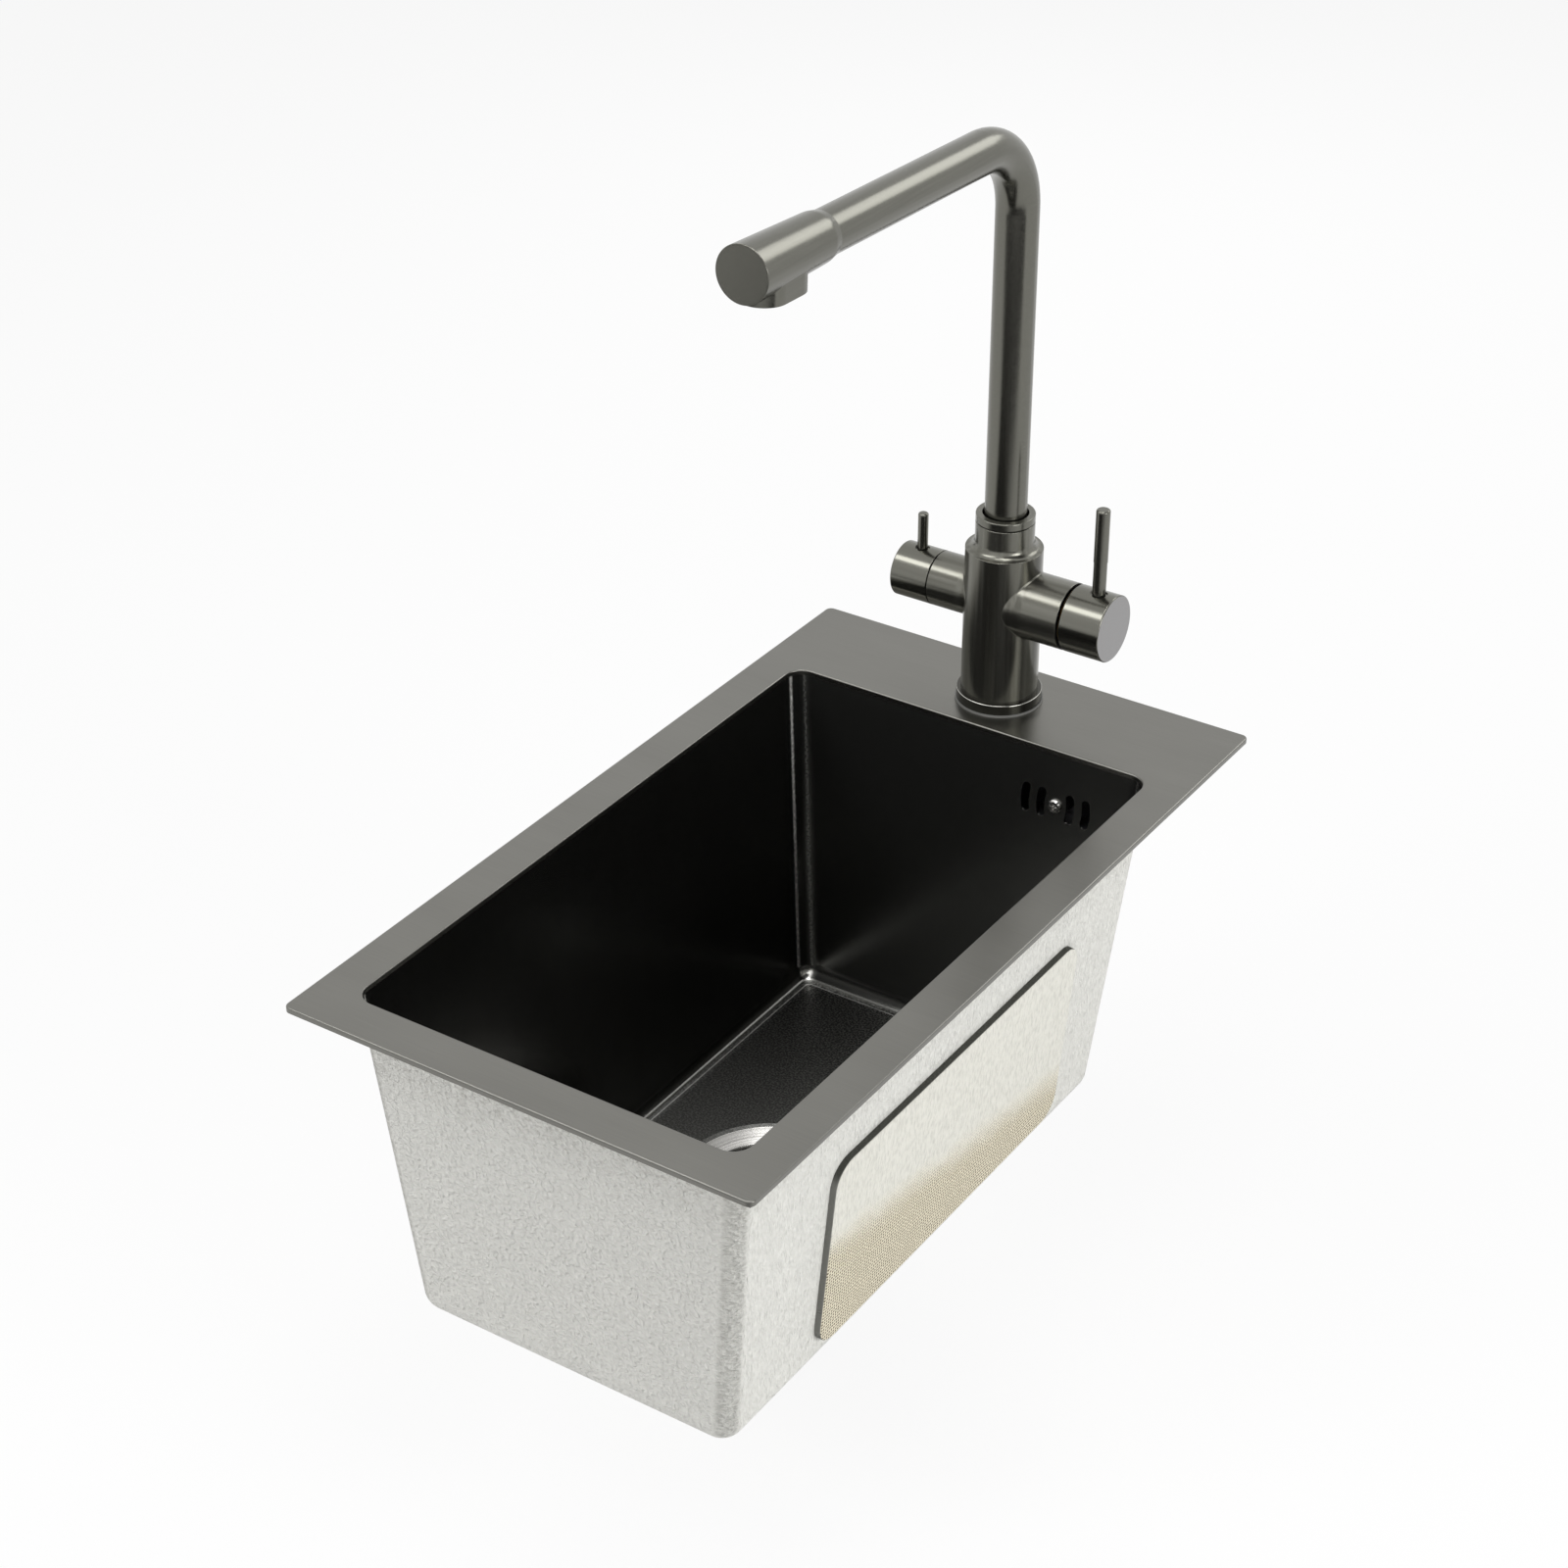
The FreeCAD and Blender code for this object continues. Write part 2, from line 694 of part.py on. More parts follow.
def draw_overflow_outline(sketch, inset="0"):
    half_x = f"overflow_box_width / 2 - {inset}"
    half_y = f"overflow_box_height / 2 - {inset}"
    draw_rectangle(sketch, f"-({half_x})", half_x, f"-({half_y})", half_y)


# Overflow gasket: a rubber frame between the wall and the box
gasket = overflow_body("overflow_gasket")
outline = new_sketch(gasket, "XY", "bowl_sheet")
draw_overflow_outline(outline)
pad(gasket, outline, "overflow_gasket_thickness")
round_edges(gasket, "overflow_box_corner", upright)
window = new_sketch(gasket, "XY", "box_front")
draw_overflow_outline(window, "overflow_wall")
pocket(gasket, window, "overflow_gasket_thickness")

# Overflow box: an open moulding with a boss for the screw and a hose spigot that points down
box = overflow_body("overflow_box")
outline = new_sketch(box, "XY", "box_front")
draw_overflow_outline(outline)
pad(box, outline, "overflow_box_depth")
round_edges(box, "overflow_box_corner", upright)
cavity = new_sketch(box, "XY", "box_front")
draw_overflow_outline(cavity, "overflow_wall")
pocket(box, cavity, "overflow_box_depth - overflow_wall", backwards=True)
boss = new_sketch(box, "XY", "bowl_sheet")
draw_circle(boss, "overflow_boss_radius")
pad(box, boss, "box_back - bowl_sheet - overflow_wall / 2")
spigot_start = "overflow_box_height / 2 - overflow_wall / 2"
spigot = new_sketch(box, "XZ", f"-({spigot_start})")
draw_circle(spigot, "spigot_radius", y="spigot_axis")
pad(box, spigot, "spigot_length + overflow_wall / 2", backwards=True)
spigot_bore = new_sketch(box, "XZ", "-(overflow_box_height / 2 + spigot_length)")
draw_circle(spigot_bore, "spigot_bore", y="spigot_axis")
pocket(box, spigot_bore, "spigot_length + overflow_wall", backwards=True)
insert_seat = new_sketch(box, "XY", "bowl_sheet")
draw_circle(insert_seat, "overflow_insert_radius")
pocket(box, insert_seat, "overflow_insert_length + face_gap", backwards=True)
screw_hole = new_sketch(box, "XY", "bowl_sheet")
draw_circle(screw_hole, "overflow_screw_radius + fit_gap")
pocket(box, screw_hole, "overflow_screw_length", backwards=True)

# Threaded insert in the boss, and the screw that draws the box to the wall
insert = overflow_body("overflow_insert")
outline = new_sketch(insert, "XY", "bowl_sheet + face_gap")
draw_circle(outline, "overflow_insert_radius")
draw_circle(outline, "overflow_screw_radius + fit_gap")
pad(insert, outline, "overflow_insert_length")
screw = overflow_body("overflow_screw")
turn(
    screw,
    [
        ("0", "-overflow_head_height"),
        ("overflow_head_crown", "-overflow_head_height"),
        ("overflow_head_radius", "-overflow_head_height / 2"),
        ("overflow_head_radius", "0"),
        ("overflow_screw_radius", "0"),
        ("overflow_screw_radius", "overflow_screw_length"),
        ("0", "overflow_screw_length"),
    ],
)
recess = new_sketch(screw, "XY", "-overflow_head_height")
far = "screw_recess_length / 2"
near = "screw_recess_width / 2"
half_cross = [
    (near, near),
    (near, far),
    (f"-{near}", far),
    (f"-{near}", near),
    (f"-{far}", near),
    (f"-{far}", f"-{near}"),
]
draw_polygon(recess, half_cross + [(f"-({x})", f"-({y})") for x, y in half_cross])
pocket(screw, recess, "screw_recess_depth", backwards=True)


def drain_body(label):
    return new_body(label, y="bowl_middle")


# Drain flange: a spun funnel whose skirt goes down through the hole in the bowl floor
flange = drain_body("drain_flange")
skirt_radius = "drain_throat_radius + drain_sheet"
throat_top = stack_height("drain_throat_radius")
turn(
    flange,
    [
        ("drain_flange_radius", "bowl_floor + drain_lip"),
        ("drain_throat_radius", throat_top),
        ("drain_throat_radius", "bowl_floor - drain_skirt"),
        (skirt_radius, "bowl_floor - drain_skirt"),
        (skirt_radius, stack_height(skirt_radius, "flange_under")),
        ("drain_flange_radius", stack_height("drain_flange_radius", "flange_under")),
    ],
)

round_edges(
    flange,
    "drain_throat_round",
    lambda edge: has_radius(edge, "drain_throat_radius") and at_height(edge, throat_top),
)
round_edges(
    flange,
    "drain_rim_round",
    lambda edge: has_radius(edge, "drain_flange_radius") and at_height(edge, "bowl_floor + drain_lip"),
)

# Gaskets: a thin cone under the flange, and a wedge ring between the bowl and the cup
upper_gasket = drain_body("drain_upper_gasket")
gasket_inner = "drain_hole + drain_gasket_inset"
gasket_outer = "drain_flange_radius - drain_gasket_inset"
turn(
    upper_gasket,
    [
        (gasket_inner, stack_height(gasket_inner, "flange_under")),
        (gasket_outer, stack_height(gasket_outer, "flange_under")),
        (gasket_outer, stack_height(gasket_outer, "dish_upper")),
        (gasket_inner, stack_height(gasket_inner, "dish_upper")),
    ],
)
lower_gasket = drain_body("drain_lower_gasket")
wedge_outer = "cup_flange_radius - drain_gasket_inset"
turn(
    lower_gasket,
    [
        ("drain_hole", stack_height("drain_hole", "dish_under")),
        (wedge_outer, stack_height(wedge_outer, "dish_under")),
        (wedge_outer, "bowl_floor - cup_drop"),
        ("drain_hole", "bowl_floor - cup_drop"),
    ],
)

# Drain cup: screwed up on the flange's skirt, with lugs to grip and a socket for the tail
cup = drain_body("drain_cup")
stub_seat = "tail_stub_radius + fit_gap"
turn(
    cup,
    [
        ("cup_bore", "bowl_floor - cup_drop"),
        ("cup_flange_radius", "bowl_floor - cup_drop"),
        ("cup_flange_radius", "bowl_floor - cup_drop - cup_flange_thickness"),
        ("cup_radius", "bowl_floor - cup_drop - cup_flange_thickness"),
        ("cup_radius", "bowl_floor - cup_seat"),
        ("tail_neck_radius", "neck_start"),
        (stub_seat, "neck_start"),
        (stub_seat, "neck_start + tail_stub_length + face_gap"),
        ("outlet_bore", "neck_start + tail_stub_length + face_gap"),
        ("outlet_bore", "bowl_floor - cup_seat"),
        ("stopper_radius + cup_wall", "bowl_floor - cup_seat"),
        ("cup_bore", "bowl_floor - cup_shoulder"),
    ],
)
lug = new_sketch(cup, "XY", "bowl_floor - cup_seat")
draw_rectangle(
    lug, "cup_radius - cup_wall / 2", "cup_radius + cup_lug_height", "-cup_lug_width / 2", "cup_lug_width / 2"
)
lug_pad = pad(cup, lug, "cup_seat - cup_drop - cup_flange_thickness / 2")
repeat(cup, lug_pad, "cup_lug_count")

# Drain tail: glued up into the cup, with a thread for the trap and a spigot for the overflow's hose
tail = drain_body("drain_tail")
turn(
    tail,
    [
        ("outlet_bore", "drain_end"),
        ("outlet_thread_radius", "drain_end"),
        ("outlet_thread_radius", "thread_start"),
        ("tail_neck_radius", "thread_start"),
        ("tail_neck_radius", "neck_start"),
        ("tail_stub_radius", "neck_start"),
        ("tail_stub_radius", "neck_start + tail_stub_length"),
        ("outlet_bore", "neck_start + tail_stub_length"),
    ],
)
tail_spigot_height = "(neck_start + thread_start) / 2"
tail_root = "(outlet_bore + tail_neck_radius) / 2"
collar_end = "tail_neck_radius + tail_collar_reach"
spigot_end = f"{collar_end} + spigot_length"
for radius, end in (("tail_collar_radius", collar_end), ("spigot_radius", spigot_end)):
    bar = new_sketch(tail, "XZ", f"-({end})")
    draw_circle(bar, radius, y=tail_spigot_height)
    pad(tail, bar, f"{end} - {tail_root}")
tail_bore = new_sketch(tail, "XZ", f"-({spigot_end})")
draw_circle(tail_bore, "spigot_bore", y=tail_spigot_height)
pocket(tail, tail_bore, f"{spigot_end} - outlet_bore + cup_wall", backwards=True)

# Strainer basket: a pressed cup with slots in its wall and holes in its base
basket = drain_body("strainer_basket")
post_hole = "post_radius + fit_gap"
turn(
    basket,
    [
        ("basket_rim_radius", "basket_rim"),
        ("basket_rim_radius", "basket_rim - basket_rim_thickness"),
        ("basket_mouth_radius", "basket_rim - basket_rim_thickness"),
        ("basket_base_radius", "basket_base"),
        (post_hole, "basket_base"),
        (post_hole, "basket_base + basket_sheet"),
        ("basket_base_radius - basket_sheet", "basket_base + basket_sheet"),
        ("basket_mouth_radius - basket_sheet", "basket_rim"),
    ],
)
holes = new_sketch(basket, "XY", "basket_base + basket_sheet")
draw_circle(holes, "basket_hole_radius", x="basket_hole_circle")
repeat(basket, pocket(basket, holes, "basket_sheet"), "basket_hole_count")
wall_slot = new_sketch(basket, "XZ", "basket_rim_radius")
draw_obround(
    wall_slot, "(basket_rim + basket_base) / 2", "basket_slot_width", "basket_slot_height"
)
repeat(basket, pocket(basket, wall_slot, "basket_rim_radius / 2"), "basket_hole_count")

# Stopper, post and knob: the rubber disc that closes the outlet, and what lifts it with the basket
stopper = drain_body("basket_stopper")
turn(
    stopper,
    [
        (post_hole, "stopper_base"),
        ("stopper_radius - stopper_thickness / 2", "stopper_base"),
        ("stopper_radius", "basket_base"),
        (post_hole, "basket_base"),
    ],
)
post = drain_body("basket_post")
post_top = "knob_foot + knob_height / 2"
turn(
    post,
    [
        ("0", "stopper_base + face_gap"),
        ("post_radius", "stopper_base + face_gap"),
        ("post_radius", post_top),
        ("0", post_top),
    ],
)
knob = drain_body("basket_knob")
turn(
    knob,
    [
        (post_hole, "knob_foot"),
        ("knob_neck_radius", "knob_foot"),
        ("knob_neck_radius", "knob_foot + knob_neck_height"),
        ("knob_radius", "knob_foot + knob_flare_height"),
        ("knob_radius", "knob_top - knob_chamfer"),
        ("knob_radius - knob_chamfer", "knob_top"),
        ("0", "knob_top"),
        ("0", post_top),
        (post_hole, post_top),
    ],
)


def tap_body(label, z="0"):
    return new_body(label, y="tap_axis", z=z)


def tap_ring(label, radius, bore, low, high):
    ring = tap_body(label)
    turn(ring, [(bore, low), (radius, low), (radius, high), (bore, high)])
    return ring


# Foot of the tap: a thin seal on the deck, and a ring with an eased upper edge
shank_hole = "shank_radius + fit_gap"
tap_ring("tap_base_seal", "base_gasket_radius", shank_hole, "deck_top", "ring_foot")
base_ring = tap_ring("tap_base_ring", "base_ring_radius", shank_hole, "ring_foot", "tap_foot")
round_edges(
    base_ring,
    "base_ring_round",
    lambda edge: at_height(edge, "tap_foot") and has_radius(edge, "base_ring_radius"),
)

# Tap body: barrel and neck in one turning, two arms across it, and the bores for what goes inside
tap = tap_body("tap_body")
turn(
    tap,
    [
        ("0", "tap_foot"),
        ("barrel_radius", "tap_foot"),
        ("barrel_radius", "barrel_top"),
        ("neck_radius", "barrel_top"),
        ("neck_radius", "neck_top"),
        ("0", "neck_top"),
    ],
)
for size, height, radius in (
    ("seam_round", "barrel_top", "barrel_radius"),
    ("shoulder_cove", "barrel_top", "neck_radius"),
    ("neck_round", "neck_top", "neck_radius"),
):
    round_edges(tap, size, lambda edge: at_height(edge, height) and has_radius(edge, radius))
for valve, side in (("mixer", 1), ("filter", -1)):
    arm = new_sketch(tap, "YZ")
    draw_circle(arm, f"{valve}_arm_radius", y="arm_axis")
    pad(tap, arm, f"{valve}_arm_reach", backwards=side < 0)
    round_edges(tap, "seam_round", lambda edge: at_distance(edge, f"{side} * {valve}_arm_reach"))
round_edges(tap, "arm_weld_round", lambda edge: edge.Curve.TypeId == "Part::GeomBSplineCurve")
for valve, side in (("mixer", 1), ("filter", -1)):
    bore = new_sketch(tap, "YZ", f"{side} * {valve}_arm_reach")
    draw_circle(bore, f"{valve}_bore", y="arm_axis")
    pocket(tap, bore, f"{valve}_bore_depth", backwards=side < 0)
swivel_bore = new_sketch(tap, "XY", "neck_top")
draw_circle(swivel_bore, "swivel_bore")
pocket(tap, swivel_bore, "neck_top - swivel_floor")
shank_seat = new_sketch(tap, "XY", "tap_foot")
draw_circle(shank_seat, shank_hole)
pocket(tap, shank_seat, "shank_engagement", backwards=True)
inlet_angles = {"filter_inlet_socket": 90, "hot_inlet_socket": 210, "cold_inlet_socket": 330}
for step, angle in enumerate(inlet_angles.values(), start=1):
    way = new_sketch(tap, "XY", "shank_top")
    draw_circle(
        way,
        "inlet_socket_radius + fit_gap",
        x=f"inlet_circle * cos({angle})",
        y=f"inlet_circle * sin({angle})",
    )
    pocket(tap, way, f"inlet_depth + {step} * inlet_way_step", backwards=True)

# Inlet sockets: three brass bushes in the body's underside, which the flexible tails screw into
for label, angle in inlet_angles.items():
    socket = tap_body(label)
    ring = new_sketch(socket, "XY", "shank_top")
    for radius in ("inlet_socket_radius", "inlet_radius"):
        draw_circle(ring, radius, x=f"inlet_circle * cos({angle})", y=f"inlet_circle * sin({angle})")
    pad(socket, ring, "inlet_depth")

# Shank through the deck, with its washers and its six-sided nut below
tap_ring("tap_shank", "shank_radius", "shank_bore", "-shank_drop", "shank_top")
rubber_foot = "seal_thickness - rubber_washer_thickness"
steel_foot = f"{rubber_foot} - steel_washer_thickness"
tap_ring("shank_rubber_washer", "washer_radius", shank_hole, rubber_foot, "seal_thickness")
tap_ring("shank_steel_washer", "washer_radius", shank_hole, steel_foot, rubber_foot)
shank_nut = tap_body("shank_nut")
hexagon = new_sketch(shank_nut, "XY", steel_foot)
draw_polygon(
    hexagon,
    [(f"shank_nut_radius * cos({angle})", f"shank_nut_radius * sin({angle})") for angle in range(0, 360, 60)],
)
draw_circle(hexagon, shank_hole)
pad(shank_nut, hexagon, "shank_nut_height", backwards=True)
nut_foot = f"{steel_foot} - shank_nut_height"
nut_outside = "shank_nut_radius + cut_margin"
turn(
    shank_nut,
    [
        ("shank_nut_radius - shank_nut_chamfer", nut_foot),
        (nut_outside, nut_foot),
        (nut_outside, f"{nut_foot} + (shank_nut_chamfer + cut_margin) * tan(30)"),
    ],
    kind="Groove",
)

# Collar nut: a ring above the neck, with a threaded skirt inside it that holds the bush down
collar = tap_body("collar_nut")
collar_bore = "spout_radius + collar_gap"
collar_foot = "neck_top + collar_nut_seam"
turn(
    collar,
    [
        (collar_bore, "bush_top"),
        ("swivel_bore - fit_gap", "bush_top"),
        ("swivel_bore - fit_gap", collar_foot),
        ("neck_radius", collar_foot),
        ("neck_radius", f"{collar_foot} + collar_nut_height"),
        (collar_bore, f"{collar_foot} + collar_nut_height"),
    ],
)
round_edges(
    collar,
    "collar_nut_round",
    lambda edge: has_radius(edge, "neck_radius") and at_height(edge, f"{collar_foot} + collar_nut_height"),
)
round_edges(
    collar,
    "seam_round",
    lambda edge: has_radius(edge, "neck_radius") and at_height(edge, collar_foot),
)

# Bush that the tube turns in, and the ferrule on the tube's foot with grooves for two O-rings
tap_ring(
    "spout_bush",
    "swivel_bore - fit_gap",
    "spout_radius + running_gap",
    "bush_top - bush_length",
    "bush_top",
)
ferrule = tap_body("spout_ferrule")
ferrule_radius = "swivel_bore - running_gap"
groove_radius = "(swivel_bore - 2 * oring_section - 2 * running_gap)"
groove_places = ["ferrule_foot + oring_first", "ferrule_foot + oring_second"]
ferrule_outside = []
for place in groove_places:
    ferrule_outside += [
        (ferrule_radius, f"{place} - oring_groove / 2"),
        (groove_radius, f"{place} - oring_groove / 2"),
        (groove_radius, f"{place} + oring_groove / 2"),
        (ferrule_radius, f"{place} + oring_groove / 2"),
    ]
turn(
    ferrule,
    [
        ("filter_pipe_radius + fit_gap", "ferrule_foot"),
        (ferrule_radius, "ferrule_foot"),
        *ferrule_outside,
        (ferrule_radius, "ferrule_top"),
        ("spout_radius + fit_gap / 2", "ferrule_top"),
        ("spout_radius + fit_gap / 2", "tube_foot"),
        ("filter_pipe_radius + fit_gap", "tube_foot"),
    ],
)
rings = []
for n, place in enumerate(groove_places):
    ring = doc.addObject("Part::Torus", f"spout_oring_{n}")
    bind(ring, "Radius1", "swivel_bore - oring_section - running_gap")
    bind(ring, "Radius2", "oring_section")
    bind(ring, "Placement.Base.z", place)
    bind(ring, "Placement.Base.y", "tap_axis")
    rings.append(ring)
orings = doc.addObject("Part::Compound", "spout_orings")
orings.Label = "spout_orings"
orings.Links = rings
doc.recompute()


def bent_pipe(label, radius, wall, foot, end):
    """A pipe up the tap's axis, round the bend and out along the rising arm."""
    body = tap_body(label)
    spine = new_sketch(body, "YZ")
    bend_foot = "spout_corner - bend_run"
    bend_y = "-bend_run * cos(spout_rise)"
    bend_z = "spout_corner + bend_run * sin(spout_rise)"
    end_y = f"-({end}) * cos(spout_rise)"
    end_z = f"spout_corner + ({end}) * sin(spout_rise)"
    start = FreeCAD.Vector(0, value(foot), 0)
    turn_in = FreeCAD.Vector(0, value(bend_foot), 0)
    turn_out = FreeCAD.Vector(value(bend_y), value(bend_z), 0)
    finish = FreeCAD.Vector(value(end_y), value(end_z), 0)
    upright_line = spine.addGeometry(Part.LineSegment(start, turn_in))
    bend_angle = value("90 - spout_rise")
    bend = add_arc(spine, -value("spout_bend"), turn_in.y, value("spout_bend"), 0, bend_angle)
    arm_line = spine.addGeometry(Part.LineSegment(turn_out, finish))
    spine.addConstraint(Sketcher.Constraint("Tangent", upright_line, 2, bend, 1))
    spine.addConstraint(Sketcher.Constraint("Tangent", bend, 2, arm_line, 1))
    limit(spine, "spout_bend", "Radius", bend)
    place_point(spine, upright_line, 1, "0", foot)
    place_point(spine, upright_line, 2, "0", bend_foot)
    place_point(spine, arm_line, 2, end_y, end_z)
    section = new_sketch(body, "XY", foot)
    draw_circle(section, radius)
    draw_circle(section, f"{radius} - {wall}")
    doc.recompute()
    pipe = body.newObject("PartDesign::AdditivePipe", f"{label}_pipe")
    pipe.Profile = section
    pipe.Spine = spine
    doc.recompute()


# Spout tube, and inside it the thin pipe that keeps filtered water apart
bent_pipe("spout_tube", "spout_radius", "spout_wall", "tube_foot", "plate_start")
bent_pipe("filter_pipe", "filter_pipe_radius", "filter_pipe_wall", "ferrule_foot", "plate_end")


def head_body(label):
    """A body in the arm's own frame: Z runs along the arm from the spout's corner, and Y points up."""
    return new_body(
        label, y="tap_axis", z="spout_corner", axis=FreeCAD.Vector(1, 0, 0), angle="90 - spout_rise"
    )


# Spout head: a cone with a rounded shoulder that grips the tube, holds the thin pipe in a plate, and is
# open at its end and below
head = head_body("spout_head")
tube_seat = "spout_radius + fit_gap / 2"
cap_seat = "arm_length - cap_thickness"
turn(
    head,
    [
        (tube_seat, "head_start"),
        ("spout_radius + head_step", "head_start"),
        ("spout_radius + head_shoulder", "head_start + head_shoulder_length"),
        ("head_radius", "arm_length"),
        ("cap_radius + fit_gap / 2", "arm_length"),
        ("cap_radius + fit_gap / 2", cap_seat),
        ("head_bore", cap_seat),
        ("head_bore", "plate_end"),
        ("filter_pipe_radius + fit_gap", "plate_end"),
        ("filter_pipe_radius + fit_gap", "plate_start"),
        (tube_seat, "plate_start"),
    ],
)
round_edges(head, "seam_round", lambda edge: has_radius(edge, "head_radius"))
round_edges(head, "head_shoulder_round", lambda edge: has_radius(edge, "spout_radius + head_shoulder"))
outlet_hole = new_sketch(head, "XZ", "outlet_drop + cut_margin")
draw_obround(outlet_hole, "outlet_place", "(outlet_width + 2 * fit_gap)", "(outlet_length + 2 * fit_gap)")
pocket(head, outlet_hole, "outlet_drop + cut_margin")

# End cap: a disc let into the end of the head
cap = head_body("spout_end_cap")
turn(cap, [("0", cap_seat), ("cap_radius", cap_seat), ("cap_radius", "arm_length"), ("0", "arm_length")])

# Outlet block under the head, with seats for the aerator and for the filtered-water nozzle
block = head_body("outlet_block")
outline = new_sketch(block, "XZ", "outlet_drop")
draw_obround(outline, "outlet_place", "outlet_width", "outlet_length")
pad(block, outline, "outlet_height", backwards=True)
aerator_place = "outlet_place + aerator_shift"
nozzle_place = "outlet_place - nozzle_shift"
seats = new_sketch(block, "XZ", "outlet_drop")
draw_circle(seats, "aerator_radius + fit_gap", y=aerator_place)
pocket(block, seats, "aerator_depth + face_gap")
seats = new_sketch(block, "XZ", "outlet_drop")
draw_circle(seats, "nozzle_radius + fit_gap", y=nozzle_place)
pocket(block, seats, "nozzle_depth + face_gap")
ways = new_sketch(block, "XZ", "outlet_drop")
draw_circle(ways, "aerator_radius / 2", y=aerator_place)
draw_circle(ways, "nozzle_bore", y=nozzle_place)
pocket(block, ways, "outlet_height + cut_margin")

# Aerator: a disc with a ring of holes, and the nozzle: a short tube
aerator = head_body("aerator")
outline = new_sketch(aerator, "XZ", "outlet_drop")
draw_circle(outline, "aerator_radius", y=aerator_place)
pad(aerator, outline, "aerator_depth", backwards=True)
spray_holes = new_sketch(aerator, "XZ", "outlet_drop")
draw_circle(spray_holes, "aerator_hole_radius", y=aerator_place)
for angle in range(0, 360, 60):
    draw_circle(
        spray_holes,
        "aerator_hole_radius",
        x=f"aerator_hole_circle * sin({angle})",
        y=f"{aerator_place} + aerator_hole_circle * cos({angle})",
    )
pocket(aerator, spray_holes, "aerator_depth + cut_margin")
nozzle = head_body("filter_nozzle")
outline = new_sketch(nozzle, "XZ", "outlet_drop")
draw_circle(outline, "nozzle_radius", y=nozzle_place)
draw_circle(outline, "nozzle_bore", y=nozzle_place)
pad(nozzle, outline, "nozzle_depth", backwards=True)


def arm_bar(body, side, start, end, radius, bore=None):
    """A round bar or sleeve along an arm's axis, from one distance to another."""
    sketch = new_sketch(body, "YZ", f"{side} * ({start})")
    draw_circle(sketch, radius)
    if bore:
        draw_circle(sketch, bore)
    pad(body, sketch, f"{end} - ({start})", backwards=side < 0)


def arm_drill(body, side, start, depth, radius, inwards):
    """A round hole along an arm's axis, drilled from one distance towards the barrel or away from it."""
    sketch = new_sketch(body, "YZ", f"{side} * ({start})")
    draw_circle(sketch, radius)
    pocket(body, sketch, depth, backwards=(side < 0) == inwards)


def arm_body(label):
    return tap_body(label, z="arm_axis")


# Valves: a cartridge held in its arm by a nut, and a handle with a lever on the cartridge's spindle
for valve, side in (("mixer", 1), ("filter", -1)):
    seat = f"{valve}_arm_reach - {valve}_bore_depth"
    nut_start = f"{valve}_arm_reach - {valve}_nut_length - face_gap"
    spindle_radius = f"{valve}_spindle_radius"
    cartridge = arm_body(f"{valve}_cartridge")
    arm_bar(cartridge, side, seat, nut_start, f"{valve}_bore - fit_gap")
    arm_drill(
        cartridge,
        side,
        nut_start,
        "spindle_in_cartridge + face_gap",
        f"{spindle_radius} + running_gap",
        inwards=True,
    )
    nut = arm_body(f"{valve}_nut")
    nut_end = f"{valve}_arm_reach - face_gap"
    arm_bar(nut, side, nut_start, nut_end, f"{valve}_bore - fit_gap", f"{valve}_nut_bore")

    handle_start = f"{valve}_arm_reach + {valve}_gap"
    handle_end = f"{handle_start} + {valve}_handle_length"
    spindle = arm_body(f"{valve}_spindle")
    arm_bar(
        spindle,
        side,
        f"{nut_start} - spindle_in_cartridge",
        f"{handle_start} + spindle_in_handle",
        spindle_radius,
    )
    handle = arm_body(f"{valve}_handle")
    arm_bar(handle, side, handle_start, handle_end, f"{valve}_arm_radius")
    round_edges(handle, "handle_round", lambda edge: at_distance(edge, f"{side} * ({handle_end})"))
    round_edges(handle, "seam_round", lambda edge: at_distance(edge, f"{side} * ({handle_start})"))
    arm_drill(
        handle,
        side,
        handle_start,
        "spindle_in_handle + face_gap",
        f"{spindle_radius} + fit_gap / 2",
        inwards=False,
    )
    lever_x = f"{side} * ({handle_start} + {valve}_lever_offset)"
    lever_radius = f"{valve}_lever_radius"
    lever_foot = f"{spindle_radius} + lever_socket_wall"
    recess = new_sketch(handle, "XY", f"{valve}_arm_radius + cut_margin")
    draw_circle(recess, f"{lever_radius} + lever_recess_margin", x=lever_x)
    pocket(handle, recess, "lever_recess_depth + cut_margin")
    socket = new_sketch(handle, "XY", f"{valve}_arm_radius + cut_margin")
    draw_circle(socket, f"{lever_radius} + fit_gap / 2", x=lever_x)
    pocket(handle, socket, f"{valve}_arm_radius + cut_margin - ({lever_foot})")
    lever = arm_body(f"{valve}_lever")
    stem = new_sketch(lever, "XY", lever_foot)
    draw_circle(stem, lever_radius, x=lever_x)
    pad(lever, stem, f"{valve}_lever_height - ({lever_foot})")
    if valve == "filter":
        round_edges(lever, "lever_round", lambda edge: at_height(edge, "filter_lever_height"))

# Sleeve: the thicker upper end of the mixer's lever
sleeve = arm_body("mixer_lever_sleeve")
stem_top = new_sketch(sleeve, "XY", "mixer_lever_height")
draw_circle(stem_top, "sleeve_radius", x="mixer_arm_reach + mixer_gap + mixer_lever_offset")
pad(sleeve, stem_top, "sleeve_length")
round_edges(sleeve, "lever_round", lambda edge: at_height(edge, "mixer_lever_height + sleeve_length"))

